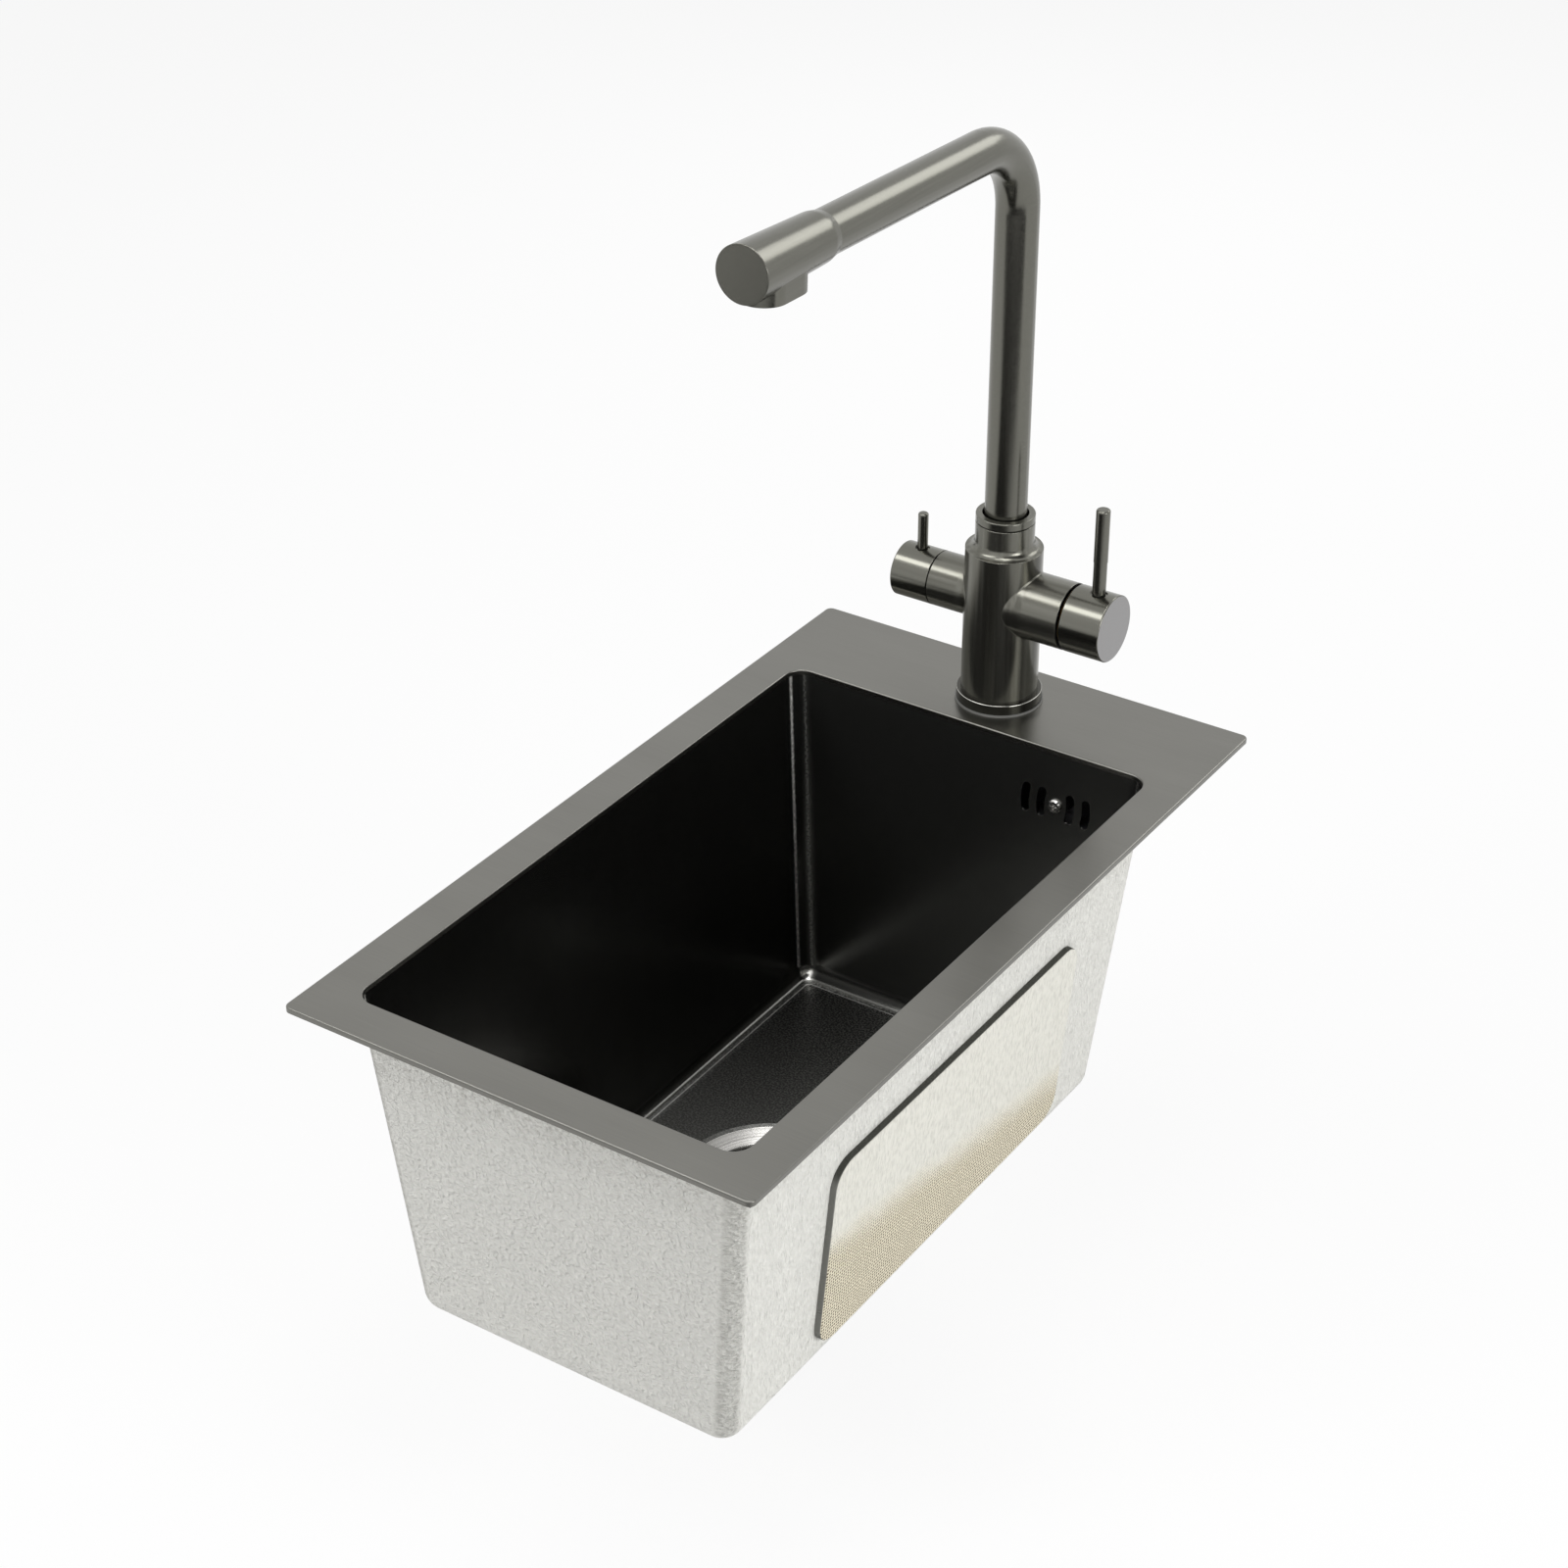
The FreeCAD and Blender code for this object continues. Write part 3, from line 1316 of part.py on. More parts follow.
# Check the document, then write one file for each piece
doc.recompute()
for thing in doc.Objects:
    if "Invalid" in thing.State or "Error" in thing.State:
        raise ValueError(f"{thing.Name} failed")
pieces = [thing for thing in doc.Objects if thing.TypeId == "PartDesign::Body"] + [orings]
os.makedirs("parts", exist_ok=True)
for piece in pieces:
    if piece.Shape.isNull() or not piece.Shape.isValid():
        raise ValueError(f"{piece.Label} has no valid shape")
    piece.Shape.exportStep(f"parts/{piece.Label}.step")
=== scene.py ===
import math

import bpy
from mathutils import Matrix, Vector


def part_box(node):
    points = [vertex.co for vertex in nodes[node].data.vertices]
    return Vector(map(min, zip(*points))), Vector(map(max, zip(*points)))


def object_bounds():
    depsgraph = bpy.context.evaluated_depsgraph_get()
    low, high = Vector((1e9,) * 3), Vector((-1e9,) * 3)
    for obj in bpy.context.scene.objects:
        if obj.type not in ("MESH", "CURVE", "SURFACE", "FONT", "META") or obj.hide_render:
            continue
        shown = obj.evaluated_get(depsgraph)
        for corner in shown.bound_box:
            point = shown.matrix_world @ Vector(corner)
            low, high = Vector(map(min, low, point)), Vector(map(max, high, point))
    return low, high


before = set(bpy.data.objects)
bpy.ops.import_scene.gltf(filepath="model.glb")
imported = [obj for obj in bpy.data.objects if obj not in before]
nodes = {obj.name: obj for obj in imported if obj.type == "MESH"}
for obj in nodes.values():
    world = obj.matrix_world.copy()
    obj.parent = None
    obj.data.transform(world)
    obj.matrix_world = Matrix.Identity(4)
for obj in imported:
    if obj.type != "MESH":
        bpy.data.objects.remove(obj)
cad_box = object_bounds()

# The studio: a white room with a pale floor under the drain and soft boxes round the sink. A dark mat in
# front and a dark flag on the right show only in the gloss, where they draw dark lines down the tap's
# tubes. The camera looks into the bowl from the front right, with a long lens and a slight roll.
scene = bpy.context.scene
scene.view_settings.view_transform = "Standard"
camera = bpy.data.objects.new("camera", bpy.data.cameras.new("camera"))
camera.location = (0.7908, -1.2080, 0.9332)
camera.rotation_euler = [math.radians(angle) for angle in (59.002, 0.690, 34.587)]
camera.data.lens = 74.566
camera.data.shift_x = 0.0478
camera.data.shift_y = -0.0129
scene.collection.objects.link(camera)
scene.camera = camera


def soft_box(name, place, target, width, height, power):
    """A rectangular soft light that faces a target."""
    lamp = bpy.data.lights.new(name, "AREA")
    lamp.shape = "RECTANGLE"
    lamp.size = width
    lamp.size_y = height
    lamp.energy = power
    box = bpy.data.objects.new(name, lamp)
    box.location = place
    box.rotation_euler = (Vector(target) - Vector(place)).to_track_quat("-Z", "Y").to_euler()
    scene.collection.objects.link(box)
    return box


soft_box("box_above", (0.1, -0.1, 1.7), (0, -0.05, 0), 0.7, 0.7, 9)
soft_box("box_behind", (0.62, 1.88, 1.4), (0, 0.1, 0.3), 1.1, 0.7, 7)
soft_box("box_front_left", (-0.75, -0.67, 1.49), (0, 0.1, 0), 1.2, 0.4, 7.5)
soft_box("box_right", (2.2, -0.4, 0.8), (0, 0, -0.1), 1.0, 1.0, 18)
for box in (
    soft_box("box_on_front", (-0.9, -1.7, 1.1), (0, -0.2, -0.1), 0.6, 0.6, 18),
    soft_box("box_on_side", (2.0, 0.1, 0.9), (0.1, 0, -0.1), 0.6, 0.6, 15),
    soft_box("box_on_back", (-0.8, 1.8, 0.8), (0, 0.2, -0.1), 0.6, 0.6, 10),
):
    box.visible_glossy = False


class Wire:
    """An output socket of a shader tree. Sums, differences and products of wires add Math nodes."""

    def __init__(self, tree, socket=None):
        self.tree = tree
        self.socket = socket

    def node(self, kind, settings=None, inputs=None, output=0):
        """Adds a node to the tree: its settings first, then the values or wires of its sockets."""
        made = self.tree.nodes.new(kind)
        for name, setting in (settings or {}).items():
            setattr(made, name, setting)
        for key, given in (inputs or {}).items():
            if isinstance(given, Wire):
                self.tree.links.new(given.socket, made.inputs[key])
            else:
                made.inputs[key].default_value = given
        return Wire(self.tree, made.outputs[output] if len(made.outputs) else None)

    def maths(self, operation, first, second=0.0):
        """A Math node on one or two values or wires."""
        return self.node("ShaderNodeMath", {"operation": operation}, {0: first, 1: second})

    def __add__(self, other):
        return self.maths("ADD", self, other)

    def __sub__(self, other):
        return self.maths("SUBTRACT", self, other)

    def __rsub__(self, other):
        return self.maths("SUBTRACT", other, self)

    def __mul__(self, other):
        return self.maths("MULTIPLY", self, other)

    def __abs__(self):
        return self.maths("ABSOLUTE", self)

    __radd__ = __add__
    __rmul__ = __mul__


def seen_directly(tree):
    """1 for what the camera, a mirror or glass sees, 0 for the light that falls on the object."""
    rays = [
        Wire(tree).node("ShaderNodeLightPath", output=kind)
        for kind in ("Is Camera Ray", "Is Glossy Ray", "Is Transmission Ray")
    ]
    both = rays[0].maths("MAXIMUM", rays[0], rays[1])
    return both.maths("MAXIMUM", both, rays[2])


pure_white = (1, 1, 1, 1)
studio = bpy.data.worlds.new("studio")
scene.world = studio
studio.use_nodes = True
studio.node_tree.nodes.clear()
seen = seen_directly(studio.node_tree)
fill = seen.node("ShaderNodeBackground", inputs={"Color": pure_white, "Strength": 0.17})
backdrop = seen.node("ShaderNodeBackground", inputs={"Color": pure_white, "Strength": 1.0})
mixed = seen.node("ShaderNodeMixShader", inputs={0: seen, 1: fill, 2: backdrop})
mixed.node("ShaderNodeOutputWorld", inputs={"Surface": mixed})


def lay_sheet(name, corners, height):
    """A flat sheet of the studio, which isn't part of the object."""
    mesh = bpy.data.meshes.new(name)
    mesh.from_pydata([(x, y, height) for x, y in corners], [], [(0, 1, 2, 3)])
    sheet = bpy.data.objects.new(name, mesh)
    material = bpy.data.materials.new(name)
    material.use_nodes = True
    material.node_tree.nodes.clear()
    mesh.materials.append(material)
    scene.collection.objects.link(sheet)
    return sheet, material.node_tree


floor_reach = 6
floor_gap = 0.001
floor_height = cad_box[0].z - floor_gap
glow_share = 0.9
floor_corners = [(x * floor_reach, y * floor_reach) for x, y in ((-1, -1), (1, -1), (1, 1), (-1, 1))]
floor_tree = lay_sheet("floor", floor_corners, floor_height)[1]
seen = seen_directly(floor_tree)
paper = seen.node("ShaderNodeBsdfDiffuse", inputs={"Color": (0.8, 0.8, 0.8, 1)})
glow = seen.node("ShaderNodeEmission", inputs={"Color": pure_white, "Strength": 1.0})
mixed = seen.node("ShaderNodeMixShader", inputs={0: seen * glow_share, 1: paper, 2: glow})
from_below = seen.node("ShaderNodeNewGeometry", output="Backfacing")
clear = seen.node("ShaderNodeBsdfTransparent")
one_sided = seen.node("ShaderNodeMixShader", inputs={0: from_below, 1: mixed, 2: clear})
one_sided.node("ShaderNodeOutputMaterial", inputs={"Surface": one_sided})

mat_corners = ((-0.73, -1.05), (1.25, -0.12), (2.81, -0.52), (-1.37, -2.38))
mat_lift = 0.002
flag_corners = ((0.5, -0.9), (2.6, -0.9), (2.6, 0.9), (0.5, 0.9))
flag_height = 1.3
for sheet, tree in (
    lay_sheet("dark_mat", mat_corners, floor_height + mat_lift),
    lay_sheet("dark_flag", flag_corners, flag_height),
):
    felt = Wire(tree).node("ShaderNodeBsdfDiffuse", inputs={"Color": (0.02, 0.02, 0.02, 1)})
    felt.node("ShaderNodeOutputMaterial", inputs={"Surface": felt})
    sheet.visible_camera = False
    sheet.visible_diffuse = False
    sheet.visible_shadow = False


# Deck plate: a flat gunmetal steel sheet with eased edges, brushed along its width. It lies on the
# worktop and carries the bowl, which is welded under its opening, and the tap.
def finish(name, colour, roughness, metallic=0.0):
    """A material with plain values, and a wire of the place on the piece in metres."""
    material = bpy.data.materials.new(name)
    material.use_nodes = True
    shader = material.node_tree.nodes["Principled BSDF"]
    shader.inputs["Base Color"].default_value = (*colour, 1)
    shader.inputs["Roughness"].default_value = roughness
    shader.inputs["Metallic"].default_value = metallic
    return material, Wire(material.node_tree).node("ShaderNodeTexCoord", output="Object")


def feed(material, wires):
    """Leads wires to the sockets of the material's shader."""
    tree = material.node_tree
    for name, wire in wires.items():
        tree.links.new(wire.socket, tree.nodes["Principled BSDF"].inputs[name])


def stretched(place, x, y, z):
    """The place times a scale for each axis, so that a pattern is drawn out along the smallest one."""
    return place.node("ShaderNodeVectorMath", {"operation": "MULTIPLY"}, {0: place, 1: (x, y, z)})


def noise(vector, detail=2.0):
    """A soft random value from 0 to 1, about one lump for each unit of the vector."""
    return vector.node("ShaderNodeTexNoise", inputs={"Vector": vector, "Scale": 1.0, "Detail": detail})


def tint(share, dark, light):
    """A colour between two, each a plain colour or a wire, by a share from 0 to 1."""
    ends = [end if isinstance(end, Wire) else (*end, 1) for end in (dark, light)]
    return share.node("ShaderNodeMix", {"data_type": "RGBA"}, {0: share, 6: ends[0], 7: ends[1]}, output=2)


def relief(height, depth):
    """A normal that makes a height from 0 to 1 look that many metres deep."""
    return height.node("ShaderNodeBump", inputs={"Height": height, "Distance": depth, "Strength": 1.0})


def put_on(material, *names):
    """Gives the CAD nodes of these names the material."""
    for name in names:
        for held in nodes[name].material_slots:
            held.material = material


stroke_depth = 0.000008
deck_steel, place = finish("deck_steel", (0.2, 0.197, 0.181), 0.3, 1.0)
strokes = noise(stretched(place, 26, 2200, 26))
patches = noise(stretched(place, 9, 30, 9))
feed(
    deck_steel,
    {
        "Base Color": tint(strokes * 0.5 + patches * 0.5, (0.168, 0.165, 0.151), (0.23, 0.227, 0.209)),
        "Roughness": 0.25 + patches * 0.08,
        "Normal": relief(strokes, stroke_depth),
    },
)
put_on(deck_steel, "deck_plate")


# Bowl: a drafted tub of dark coated steel sheet, welded under the opening of the deck. Its walls are smooth
# and glossy, the front and back walls painted paler as light falling on them. Its floor has a fine grain
# and is painted paler at the front as a pool of light, and the bright lines along its bends are painted
# highlights.
def specks(place, pitch, detail=2.0):
    """Noise of one size in all directions, with that many lumps to the metre."""
    return noise(stretched(place, pitch, pitch, pitch), detail)


def facing_of(place):
    """The direction that the surface faces."""
    return place.node("ShaderNodeNewGeometry", output="Normal")


def part_of(vector, axis):
    """One number of a vector: 0, 1 or 2 for x, y or z."""
    return vector.node("ShaderNodeSeparateXYZ", inputs={0: vector}, output=axis)


def ramp(value, start, end):
    """0 at start and 1 at end, rounded off between them."""
    return value.node(
        "ShaderNodeMapRange",
        {"interpolation_type": "SMOOTHSTEP"},
        {"Value": value, "From Min": start, "From Max": end},
    )


def line_at(value, middle, width):
    """1 on the line where a value reaches its middle, 0 on both sides of it."""
    return 1 - ramp(abs(value - middle), 0.0, width)


grain_depth = 0.0001
glint_colour = (0.95, 0.94, 0.9)
bowl_steel, place = finish("bowl_steel", (0.12, 0.12, 0.114), 0.3, 0.97)
facing = facing_of(place)
across, lengthways, up = [part_of(facing, axis) for axis in range(3)]
lying = ramp(up, 0.85, 0.98)
end_share = ramp(abs(lengthways), 0.1, 0.35)
end_wall = ramp(abs(lengthways), 0.7, 0.95)
grain = specks(place, 900)
cloud = specks(place, 18)
runs = noise(stretched(place, 70, 70, 6))
speckle = ramp(grain, 0.4, 0.66)
# Painted light: the floor is painted paler towards the front, as a pool of light falling on it.
front_light = 1 - ramp(part_of(place, 1), -0.08, 0.15)
# Painted highlights: bright lines along the upright bends and the foot bends, and bright corner points,
# painted in a pale colour.
upright_bend = line_at(abs(lengthways), 0.35, 0.15) + line_at(abs(lengthways), 0.9, 0.06) * 0.25
foot_line = line_at(up, 0.84, 0.045) * (1 - end_share * 0.85)
foot_bend = foot_line + line_at(up, 0.97, 0.012) * 0.5 * (1 - end_share * 0.75)
foot_point = ramp(abs(across * lengthways * up), 0.09, 0.18)
on_corner = ramp(abs(across * lengthways), 0.1, 0.2) * (1 - ramp(up, 0.2, 0.3))
upright_glint = upright_bend * on_corner * (0.55 + speckle * 0.45)
bright = (foot_bend + foot_point) * (0.9 + speckle * 0.2)
glints = upright_glint + bright
glint_share = glints.maths("MINIMUM", glints, 1.0)
wall_colour = tint(cloud * 0.6 + runs * 0.4, (0.055, 0.055, 0.051), (0.105, 0.105, 0.098))
# Painted light: the front and back walls are painted paler than the side walls.
lit_end_wall_colour = tint(end_wall, wall_colour, (0.2, 0.2, 0.19))
floor_grain_and_light = tint(speckle * 0.5 + front_light * 0.5, (0.012, 0.012, 0.011), (0.24, 0.24, 0.226))
dark_colour = tint(lying, lit_end_wall_colour, floor_grain_and_light)
feed(
    bowl_steel,
    {
        "Base Color": tint(glint_share, dark_colour, glint_colour),
        "Metallic": 0.97 - foot_line * 0.9 - lying * (0.2 + front_light * 0.35),
        "Roughness": 0.17 + grain * 0.1 + lying * 0.12 + upright_glint * 0.4 - bright * 0.08,
        "Normal": relief(grain * (0.25 + lying * 0.75), grain_depth),
    },
)
put_on(bowl_steel, "bowl_shell")

# Spray coat: a white anti-drip coat, sprayed on the outside of the bowl. It lies in soft lumps on the
# front and back and in streaks on the side walls, with painted shade in the hollows between the lumps. On
# the upright bends it is wrinkled and darkened with painted shade, and under the deck it is flecked and
# darkened with painted shade.
lump_depth = 0.0034
coat_paint, place = finish("coat_paint", (0.8, 0.8, 0.765), 0.7)
facing = facing_of(place)
beside = ramp(abs(part_of(facing, 0)), 0.6, 0.9)
bend = ramp(abs(part_of(facing, 0) * part_of(facing, 1)), 0.12, 0.4)
lumps = specks(place, 420)
streaks = noise(stretched(place, 560, 560, 190))
creases = noise(stretched(place, 340, 340, 560), 3.0)
on_walls = lumps * (1 - beside) + streaks * beside
peel = on_walls * (1 - bend) + creases * bend
under_deck = ramp(part_of(place, 2), -0.055, -0.015)
dust = noise(stretched(place, 320, 320, 560), 3.0)
flecks = ramp(dust, 0.5, 0.66) * under_deck * 0.4
stain = specks(place, 30, 3.0)
# Painted shade: the hollows between the lumps are darker than the lump tops.
lit_tops = ramp(peel, 0.45, 0.75)
paint_and_hollow_shade = tint(stain * 0.3 + lit_tops * 0.7, (0.74, 0.735, 0.695), (0.845, 0.84, 0.794))
wrinkles = 1 - ramp(creases, 0.38, 0.58)
# Painted shade: the paint is darker on the upright bends and under the deck.
painted_shade_share = bend * (0.4 + wrinkles * 0.3) + under_deck * 0.12
shaded_paint = tint(painted_shade_share, paint_and_hollow_shade, (0.42, 0.415, 0.385))
feed(
    coat_paint,
    {
        "Base Color": tint(flecks, shaded_paint, (0.3, 0.275, 0.235)),
        "Normal": relief(peel, lump_depth),
    },
)
put_on(coat_paint, "spray_coat")

# Sound pads: rubber slabs with a woven face, stuck on the side walls. The white spray covers their
# upper part and fades out towards the bottom, lower at the back than at the front. Their edges are bare,
# the top edge darker with painted shade.
pad_cloth, place = finish("pad_cloth", (0.72, 0.70, 0.62), 0.85)
pad_low, pad_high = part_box("sound_pad_right")
along = part_of(place, 1)
height = part_of(place, 2)
thread_pitch = 0.0021
thread_turn = 2 * math.pi / thread_pitch
thread_depth = 0.0012
thread_wobble = 0.002
wobble = (specks(place, 110) - 0.5) * thread_wobble
warp = along.maths("SINE", (along + wobble) * thread_turn)
weft = height.maths("SINE", (height + wobble) * thread_turn)
gaps = (0.5 - warp * 0.5) * (0.5 - weft * 0.5)
pad_height = pad_high.z - pad_low.z
pad_length = pad_high.y - pad_low.y
up_share = (height - pad_low.z) * (1 / pad_height)
back_share = (along - pad_low.y) * (1 / pad_length)
wave = noise(stretched(place, 40, 30, 40))
fade_at_front = 0.62
fade_at_back = 0.24
fade_wave = 0.12
fade_line = fade_at_front - back_share * (fade_at_front - fade_at_back) + (wave - 0.5) * fade_wave
bare = 1 - ramp(up_share - fade_line, -0.16, 0.08)
streaks = noise(stretched(place, 700, 700, 200), 3.0)
facing = facing_of(place)
on_face = ramp(abs(part_of(facing, 0)), 0.55, 0.75)
on_top = ramp(part_of(facing, 2), 0.2, 0.7)
threads = tint(ramp(gaps, 0.12, 0.7), (0.84, 0.775, 0.605), (0.19, 0.148, 0.095))
sprayed = tint(ramp(streaks, 0.3, 0.6), (0.63, 0.622, 0.567), (0.755, 0.745, 0.682))
face = tint(bare, sprayed, threads)
# Painted shade: the top edge of the pad is darker than its side edges.
edge = tint(on_top, (0.19, 0.19, 0.175), (0.055, 0.056, 0.047))
feed(
    pad_cloth,
    {
        "Base Color": tint(on_face, edge, face),
        "Normal": relief((1 - gaps) * bare + streaks * (1 - bare), thread_depth),
    },
)
put_on(pad_cloth, "sound_pad_right", "sound_pad_left")

# Seals and gaskets: black rubber rings, pressed between the pieces that they seal, a grey silicone ring
# under the tap's base, and a strip of grey foam stuck under the deck's edge.
black_rubber, place = finish("black_rubber", (0.025, 0.025, 0.025), 0.6)
bloom = specks(place, 90, 3.0)
feed(
    black_rubber,
    {"Base Color": tint(bloom, (0.018, 0.018, 0.018), (0.04, 0.04, 0.039)), "Roughness": 0.5 + bloom * 0.2},
)
put_on(
    black_rubber,
    "overflow_gasket",
    "drain_upper_gasket",
    "drain_lower_gasket",
    "basket_stopper",
    "shank_rubber_washer",
    "spout_orings",
)
grey_silicone, place = finish("grey_silicone", (0.16, 0.16, 0.152), 0.35)
bloom = specks(place, 90, 3.0)
feed(
    grey_silicone,
    {"Base Color": tint(bloom, (0.13, 0.13, 0.124), (0.2, 0.2, 0.19)), "Roughness": 0.3 + bloom * 0.2},
)
put_on(grey_silicone, "tap_base_seal")
grey_foam, place = finish("grey_foam", (0.17, 0.17, 0.17), 0.9)
cells = place.node("ShaderNodeTexVoronoi", inputs={"Vector": place, "Scale": 900.0})
feed(
    grey_foam,
    {
        "Base Color": tint(specks(place, 60), (0.13, 0.13, 0.13), (0.2, 0.2, 0.2)),
        "Normal": relief(cells, 0.0004),
    },
)
put_on(grey_foam, "rim_seal")

# Overflow: a moulded box of black plastic behind the slots in the back wall, drawn to it by one bright
# steel screw. The drain's cup and tail and the basket's knob are moulded in the same plastic.
black_plastic, place = finish("black_plastic", (0.03, 0.03, 0.032), 0.45)
spark = specks(place, 700)
feed(
    black_plastic,
    {
        "Base Color": tint(specks(place, 40), (0.026, 0.026, 0.028), (0.04, 0.04, 0.042)),
        "Roughness": 0.38 + spark * 0.14,
        "Normal": relief(spark, 0.0001),
    },
)
put_on(black_plastic, "overflow_box", "drain_cup", "drain_tail", "basket_knob")
screw_steel, place = finish("screw_steel", (0.62, 0.61, 0.59), 0.25, 1.0)
scuffs = specks(place, 900)
feed(
    screw_steel,
    {"Base Color": tint(scuffs, (0.5, 0.49, 0.47), (0.7, 0.69, 0.67)), "Roughness": 0.16 + scuffs * 0.2},
)
put_on(screw_steel, "overflow_screw", "shank_steel_washer")

# Drain: a spun steel flange in the bowl floor, held by the cup that is screwed on it from below, with a
# strainer basket that lifts out. The spinning leaves fine rings round the axis.
drain_steel, place = finish("drain_steel", (0.62, 0.61, 0.59), 0.25, 1.0)
flange_low, flange_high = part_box("drain_flange")
drain_middle = (flange_low + flange_high) / 2
from_axis = place.node(
    "ShaderNodeVectorMath",
    {"operation": "SUBTRACT"},
    {0: place, 1: (drain_middle.x, drain_middle.y, 0)},
)
flat = stretched(from_axis, 1, 1, 0)
radius = flat.node("ShaderNodeVectorMath", {"operation": "LENGTH"}, {0: flat}, output="Value")
rings_to_metre = 300
rings = noise(radius.node("ShaderNodeCombineXYZ", inputs={0: radius * rings_to_metre}))
feed(
    drain_steel,
    {
        "Base Color": tint(ramp(rings, 0.3, 0.7), (0.3, 0.295, 0.28), (0.6, 0.59, 0.57)),
        "Roughness": 0.18 + rings * 0.16,
        "Normal": relief(rings, 0.0001),
    },
)
put_on(drain_steel, "drain_flange", "strainer_basket", "basket_post")


# Tap: turned and brushed gunmetal steel, held in the deck's hole by its shank. The barrel and the collar
# nut are brushed upright and the two arms along their length, so that the reflections run in bands. The
# base ring is darker with a painted highlight on its top edge, and the arms' ends are painted dark as shade
# in the gaps to the handles.
def brushed(place, axis, pitch=1100, run=16):
    """Brush strokes along an axis: pitch of them to the metre across it, and run of them along it."""
    scale = [pitch, pitch, pitch]
    scale[axis] = run
    return noise(stretched(place, *scale))


gap_shade_colour = (0.012, 0.012, 0.011)
brush_depth = 0.00001
tap_steel, place = finish("tap_steel", (0.16, 0.158, 0.138), 0.2, 0.95)
upright = brushed(place, 2)
feed(
    tap_steel,
    {
        "Base Color": tint(upright, (0.14, 0.139, 0.121), (0.18, 0.178, 0.155)),
        "Roughness": 0.18 + upright * 0.1,
        "Normal": relief(upright, brush_depth),
    },
)
put_on(tap_steel, "collar_nut")
ring_steel, place = finish("ring_steel", (0.07, 0.069, 0.06), 0.2, 1.0)
upright = brushed(place, 2)
# Painted highlight: a pale line on the ring's upward-facing top edge.
edge_highlight = line_at(part_of(facing_of(place), 2), 0.6, 0.3)
turned = tint(upright, (0.045, 0.044, 0.038), (0.085, 0.084, 0.073))
feed(
    ring_steel,
    {
        "Base Color": tint(edge_highlight, turned, (0.6, 0.59, 0.55)),
        "Roughness": 0.16 + upright * 0.1,
    },
)
put_on(ring_steel, "tap_base_ring")
body_steel, place = finish("body_steel", (0.16, 0.158, 0.138), 0.2, 0.89)
upright = brushed(place, 2)
crosswise = brushed(place, 0)
base_low, base_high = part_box("tap_base_ring")
base_step = 0.0025
seam = 0.001
barrel_radius = (base_high.x - base_low.x) / 2 - base_step
on_arm = ramp(abs(part_of(place, 0)), barrel_radius - seam, barrel_radius + seam)
strokes = upright * (1 - on_arm) + crosswise * on_arm
facing = facing_of(place)
# Painted shade: the arms' end faces are dark in the gaps to the handles.
arm_end_shade = ramp(abs(part_of(facing, 0)), 0.95, 0.99) * on_arm
wide_strokes = brushed(place, 2, 300, 5) * (1 - on_arm) + brushed(place, 0, 300, 5) * on_arm
bands = ramp(wide_strokes, 0.3, 0.7)
body_colour = tint(strokes * 0.4 + bands * 0.6, (0.105, 0.103, 0.086), (0.205, 0.203, 0.178))
feed(
    body_steel,
    {
        "Base Color": tint(arm_end_shade, body_colour, gap_shade_colour),
        "Roughness": 0.14 + strokes * 0.1 + bands * 0.06,
        "Normal": relief(strokes, brush_depth),
    },
)
put_on(body_steel, "tap_body")

# Spout: one bent tube of the same steel, brushed along its arm. A conical head grips its end, with a
# disc let into its front as a cap and the outlet block below.
spout_steel, place = finish("spout_steel", (0.155, 0.153, 0.134), 0.18, 0.97)
lengthwise = brushed(place, 1)
feed(
    spout_steel,
    {
        "Base Color": tint(lengthwise, (0.135, 0.133, 0.116), (0.173, 0.171, 0.149)),
        "Roughness": 0.17 + lengthwise * 0.12,
        "Normal": relief(lengthwise, brush_depth),
    },
)
put_on(spout_steel, "spout_tube", "spout_head", "spout_end_cap", "outlet_block")

# Handles and levers: short turned bars of the same steel on the spindles in the two arms, each with a
# lever stem let into it. Their outer ends are painted paler as light, and their backs are painted dark as
# shade in the gaps to the arms.
handle_steel, place = finish("handle_steel", (0.16, 0.158, 0.138), 0.18, 0.96)
crosswise = brushed(place, 0)
facing = facing_of(place)
from_middle = part_of(place, 0)
outward = part_of(facing, 0) * from_middle.maths("SIGN", from_middle)
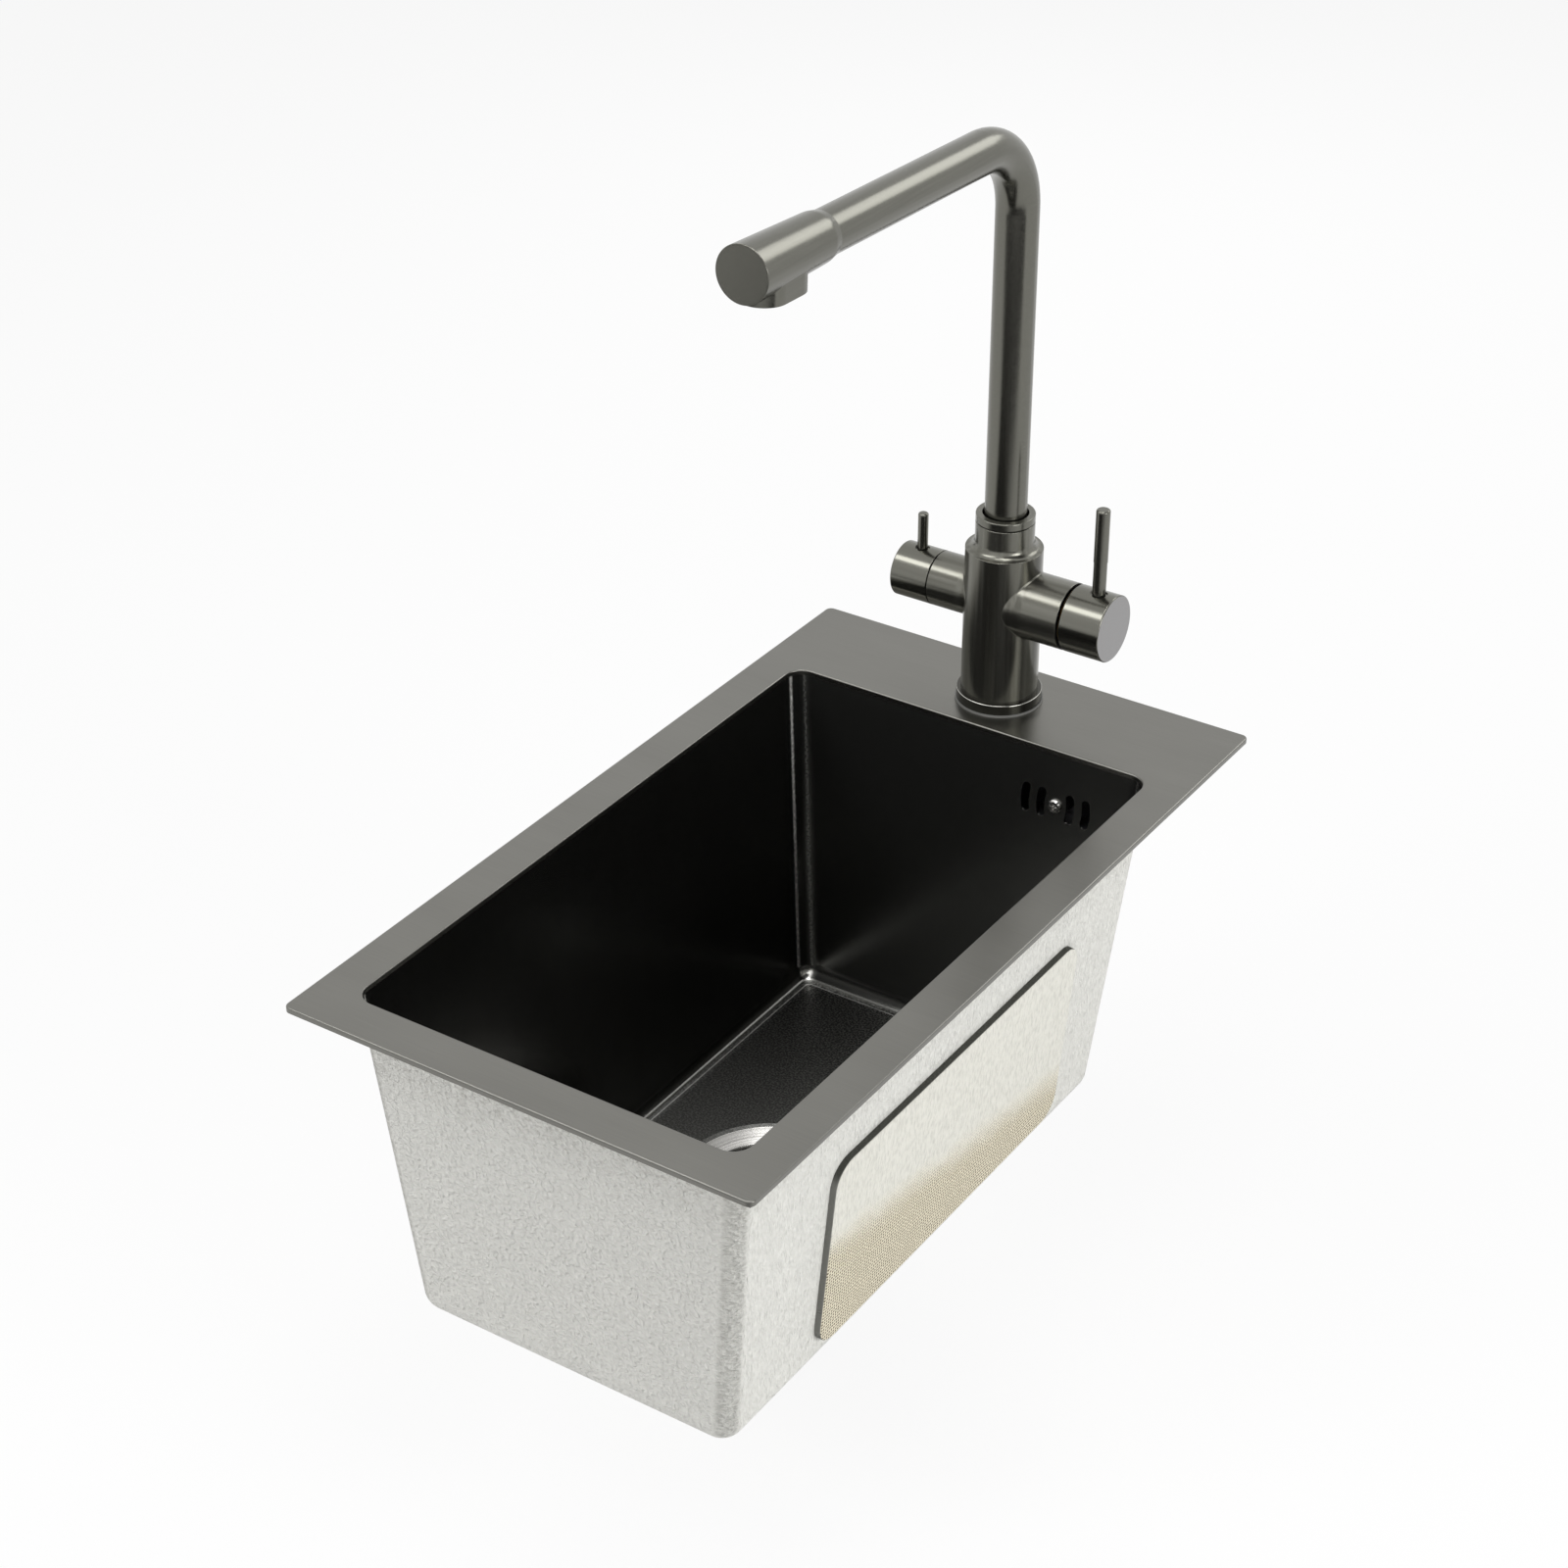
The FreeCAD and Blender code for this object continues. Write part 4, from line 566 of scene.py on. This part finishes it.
# Painted light and shade: the handles' outer end faces are paler, and their backs are dark in the gaps to
# the arms.
lit_end = ramp(outward, 0.9, 0.98)
back_in_shade = ramp(-1 * outward, 0.9, 0.98)
round_side = tint(crosswise, (0.142, 0.14, 0.122), (0.182, 0.18, 0.157))
outside = tint(lit_end, round_side, (0.285, 0.281, 0.281))
feed(
    handle_steel,
    {
        "Base Color": tint(back_in_shade, outside, gap_shade_colour),
        "Roughness": 0.13 + crosswise * 0.1,
        "Normal": relief(crosswise, brush_depth),
    },
)
put_on(handle_steel, "mixer_handle", "filter_handle")
put_on(tap_steel, "mixer_lever", "mixer_lever_sleeve", "filter_lever")

# Outlets: an aerator for mixed water and a nozzle for filtered water, both moulded in grey plastic.
# They sit flush in the block under the head.
grey_plastic, place = finish("grey_plastic", (0.3, 0.31, 0.32), 0.4)
mould = specks(place, 500)
feed(
    grey_plastic,
    {"Base Color": tint(mould, (0.27, 0.28, 0.29), (0.33, 0.34, 0.35)), "Roughness": 0.32 + mould * 0.16},
)
put_on(grey_plastic, "aerator", "filter_nozzle")

# Inner parts: the shank, sockets, nuts and spindles are turned in brass, and the bush, the filter pipe
# and the mixer's cartridge are pale plastic. They show mainly under the deck or when taken apart.
brass, place = finish("brass", (0.62, 0.44, 0.18), 0.3, 1.0)
cut = noise(stretched(place, 120, 120, 1600))
feed(
    brass,
    {
        "Base Color": tint(cut, (0.55, 0.38, 0.15), (0.68, 0.50, 0.22)),
        "Roughness": 0.22 + cut * 0.18,
        "Normal": relief(cut, 0.00005),
    },
)
put_on(
    brass,
    "overflow_insert",
    "tap_shank",
    "shank_nut",
    "filter_inlet_socket",
    "hot_inlet_socket",
    "cold_inlet_socket",
    "spout_ferrule",
    "mixer_nut",
    "mixer_spindle",
    "filter_cartridge",
    "filter_nut",
    "filter_spindle",
)
pale_plastic, place = finish("pale_plastic", (0.72, 0.72, 0.70), 0.45)
mould = specks(place, 400)
feed(
    pale_plastic,
    {"Base Color": tint(mould, (0.68, 0.68, 0.66), (0.76, 0.76, 0.74)), "Roughness": 0.38 + mould * 0.14},
)
put_on(pale_plastic, "spout_bush", "filter_pipe", "mixer_cartridge")
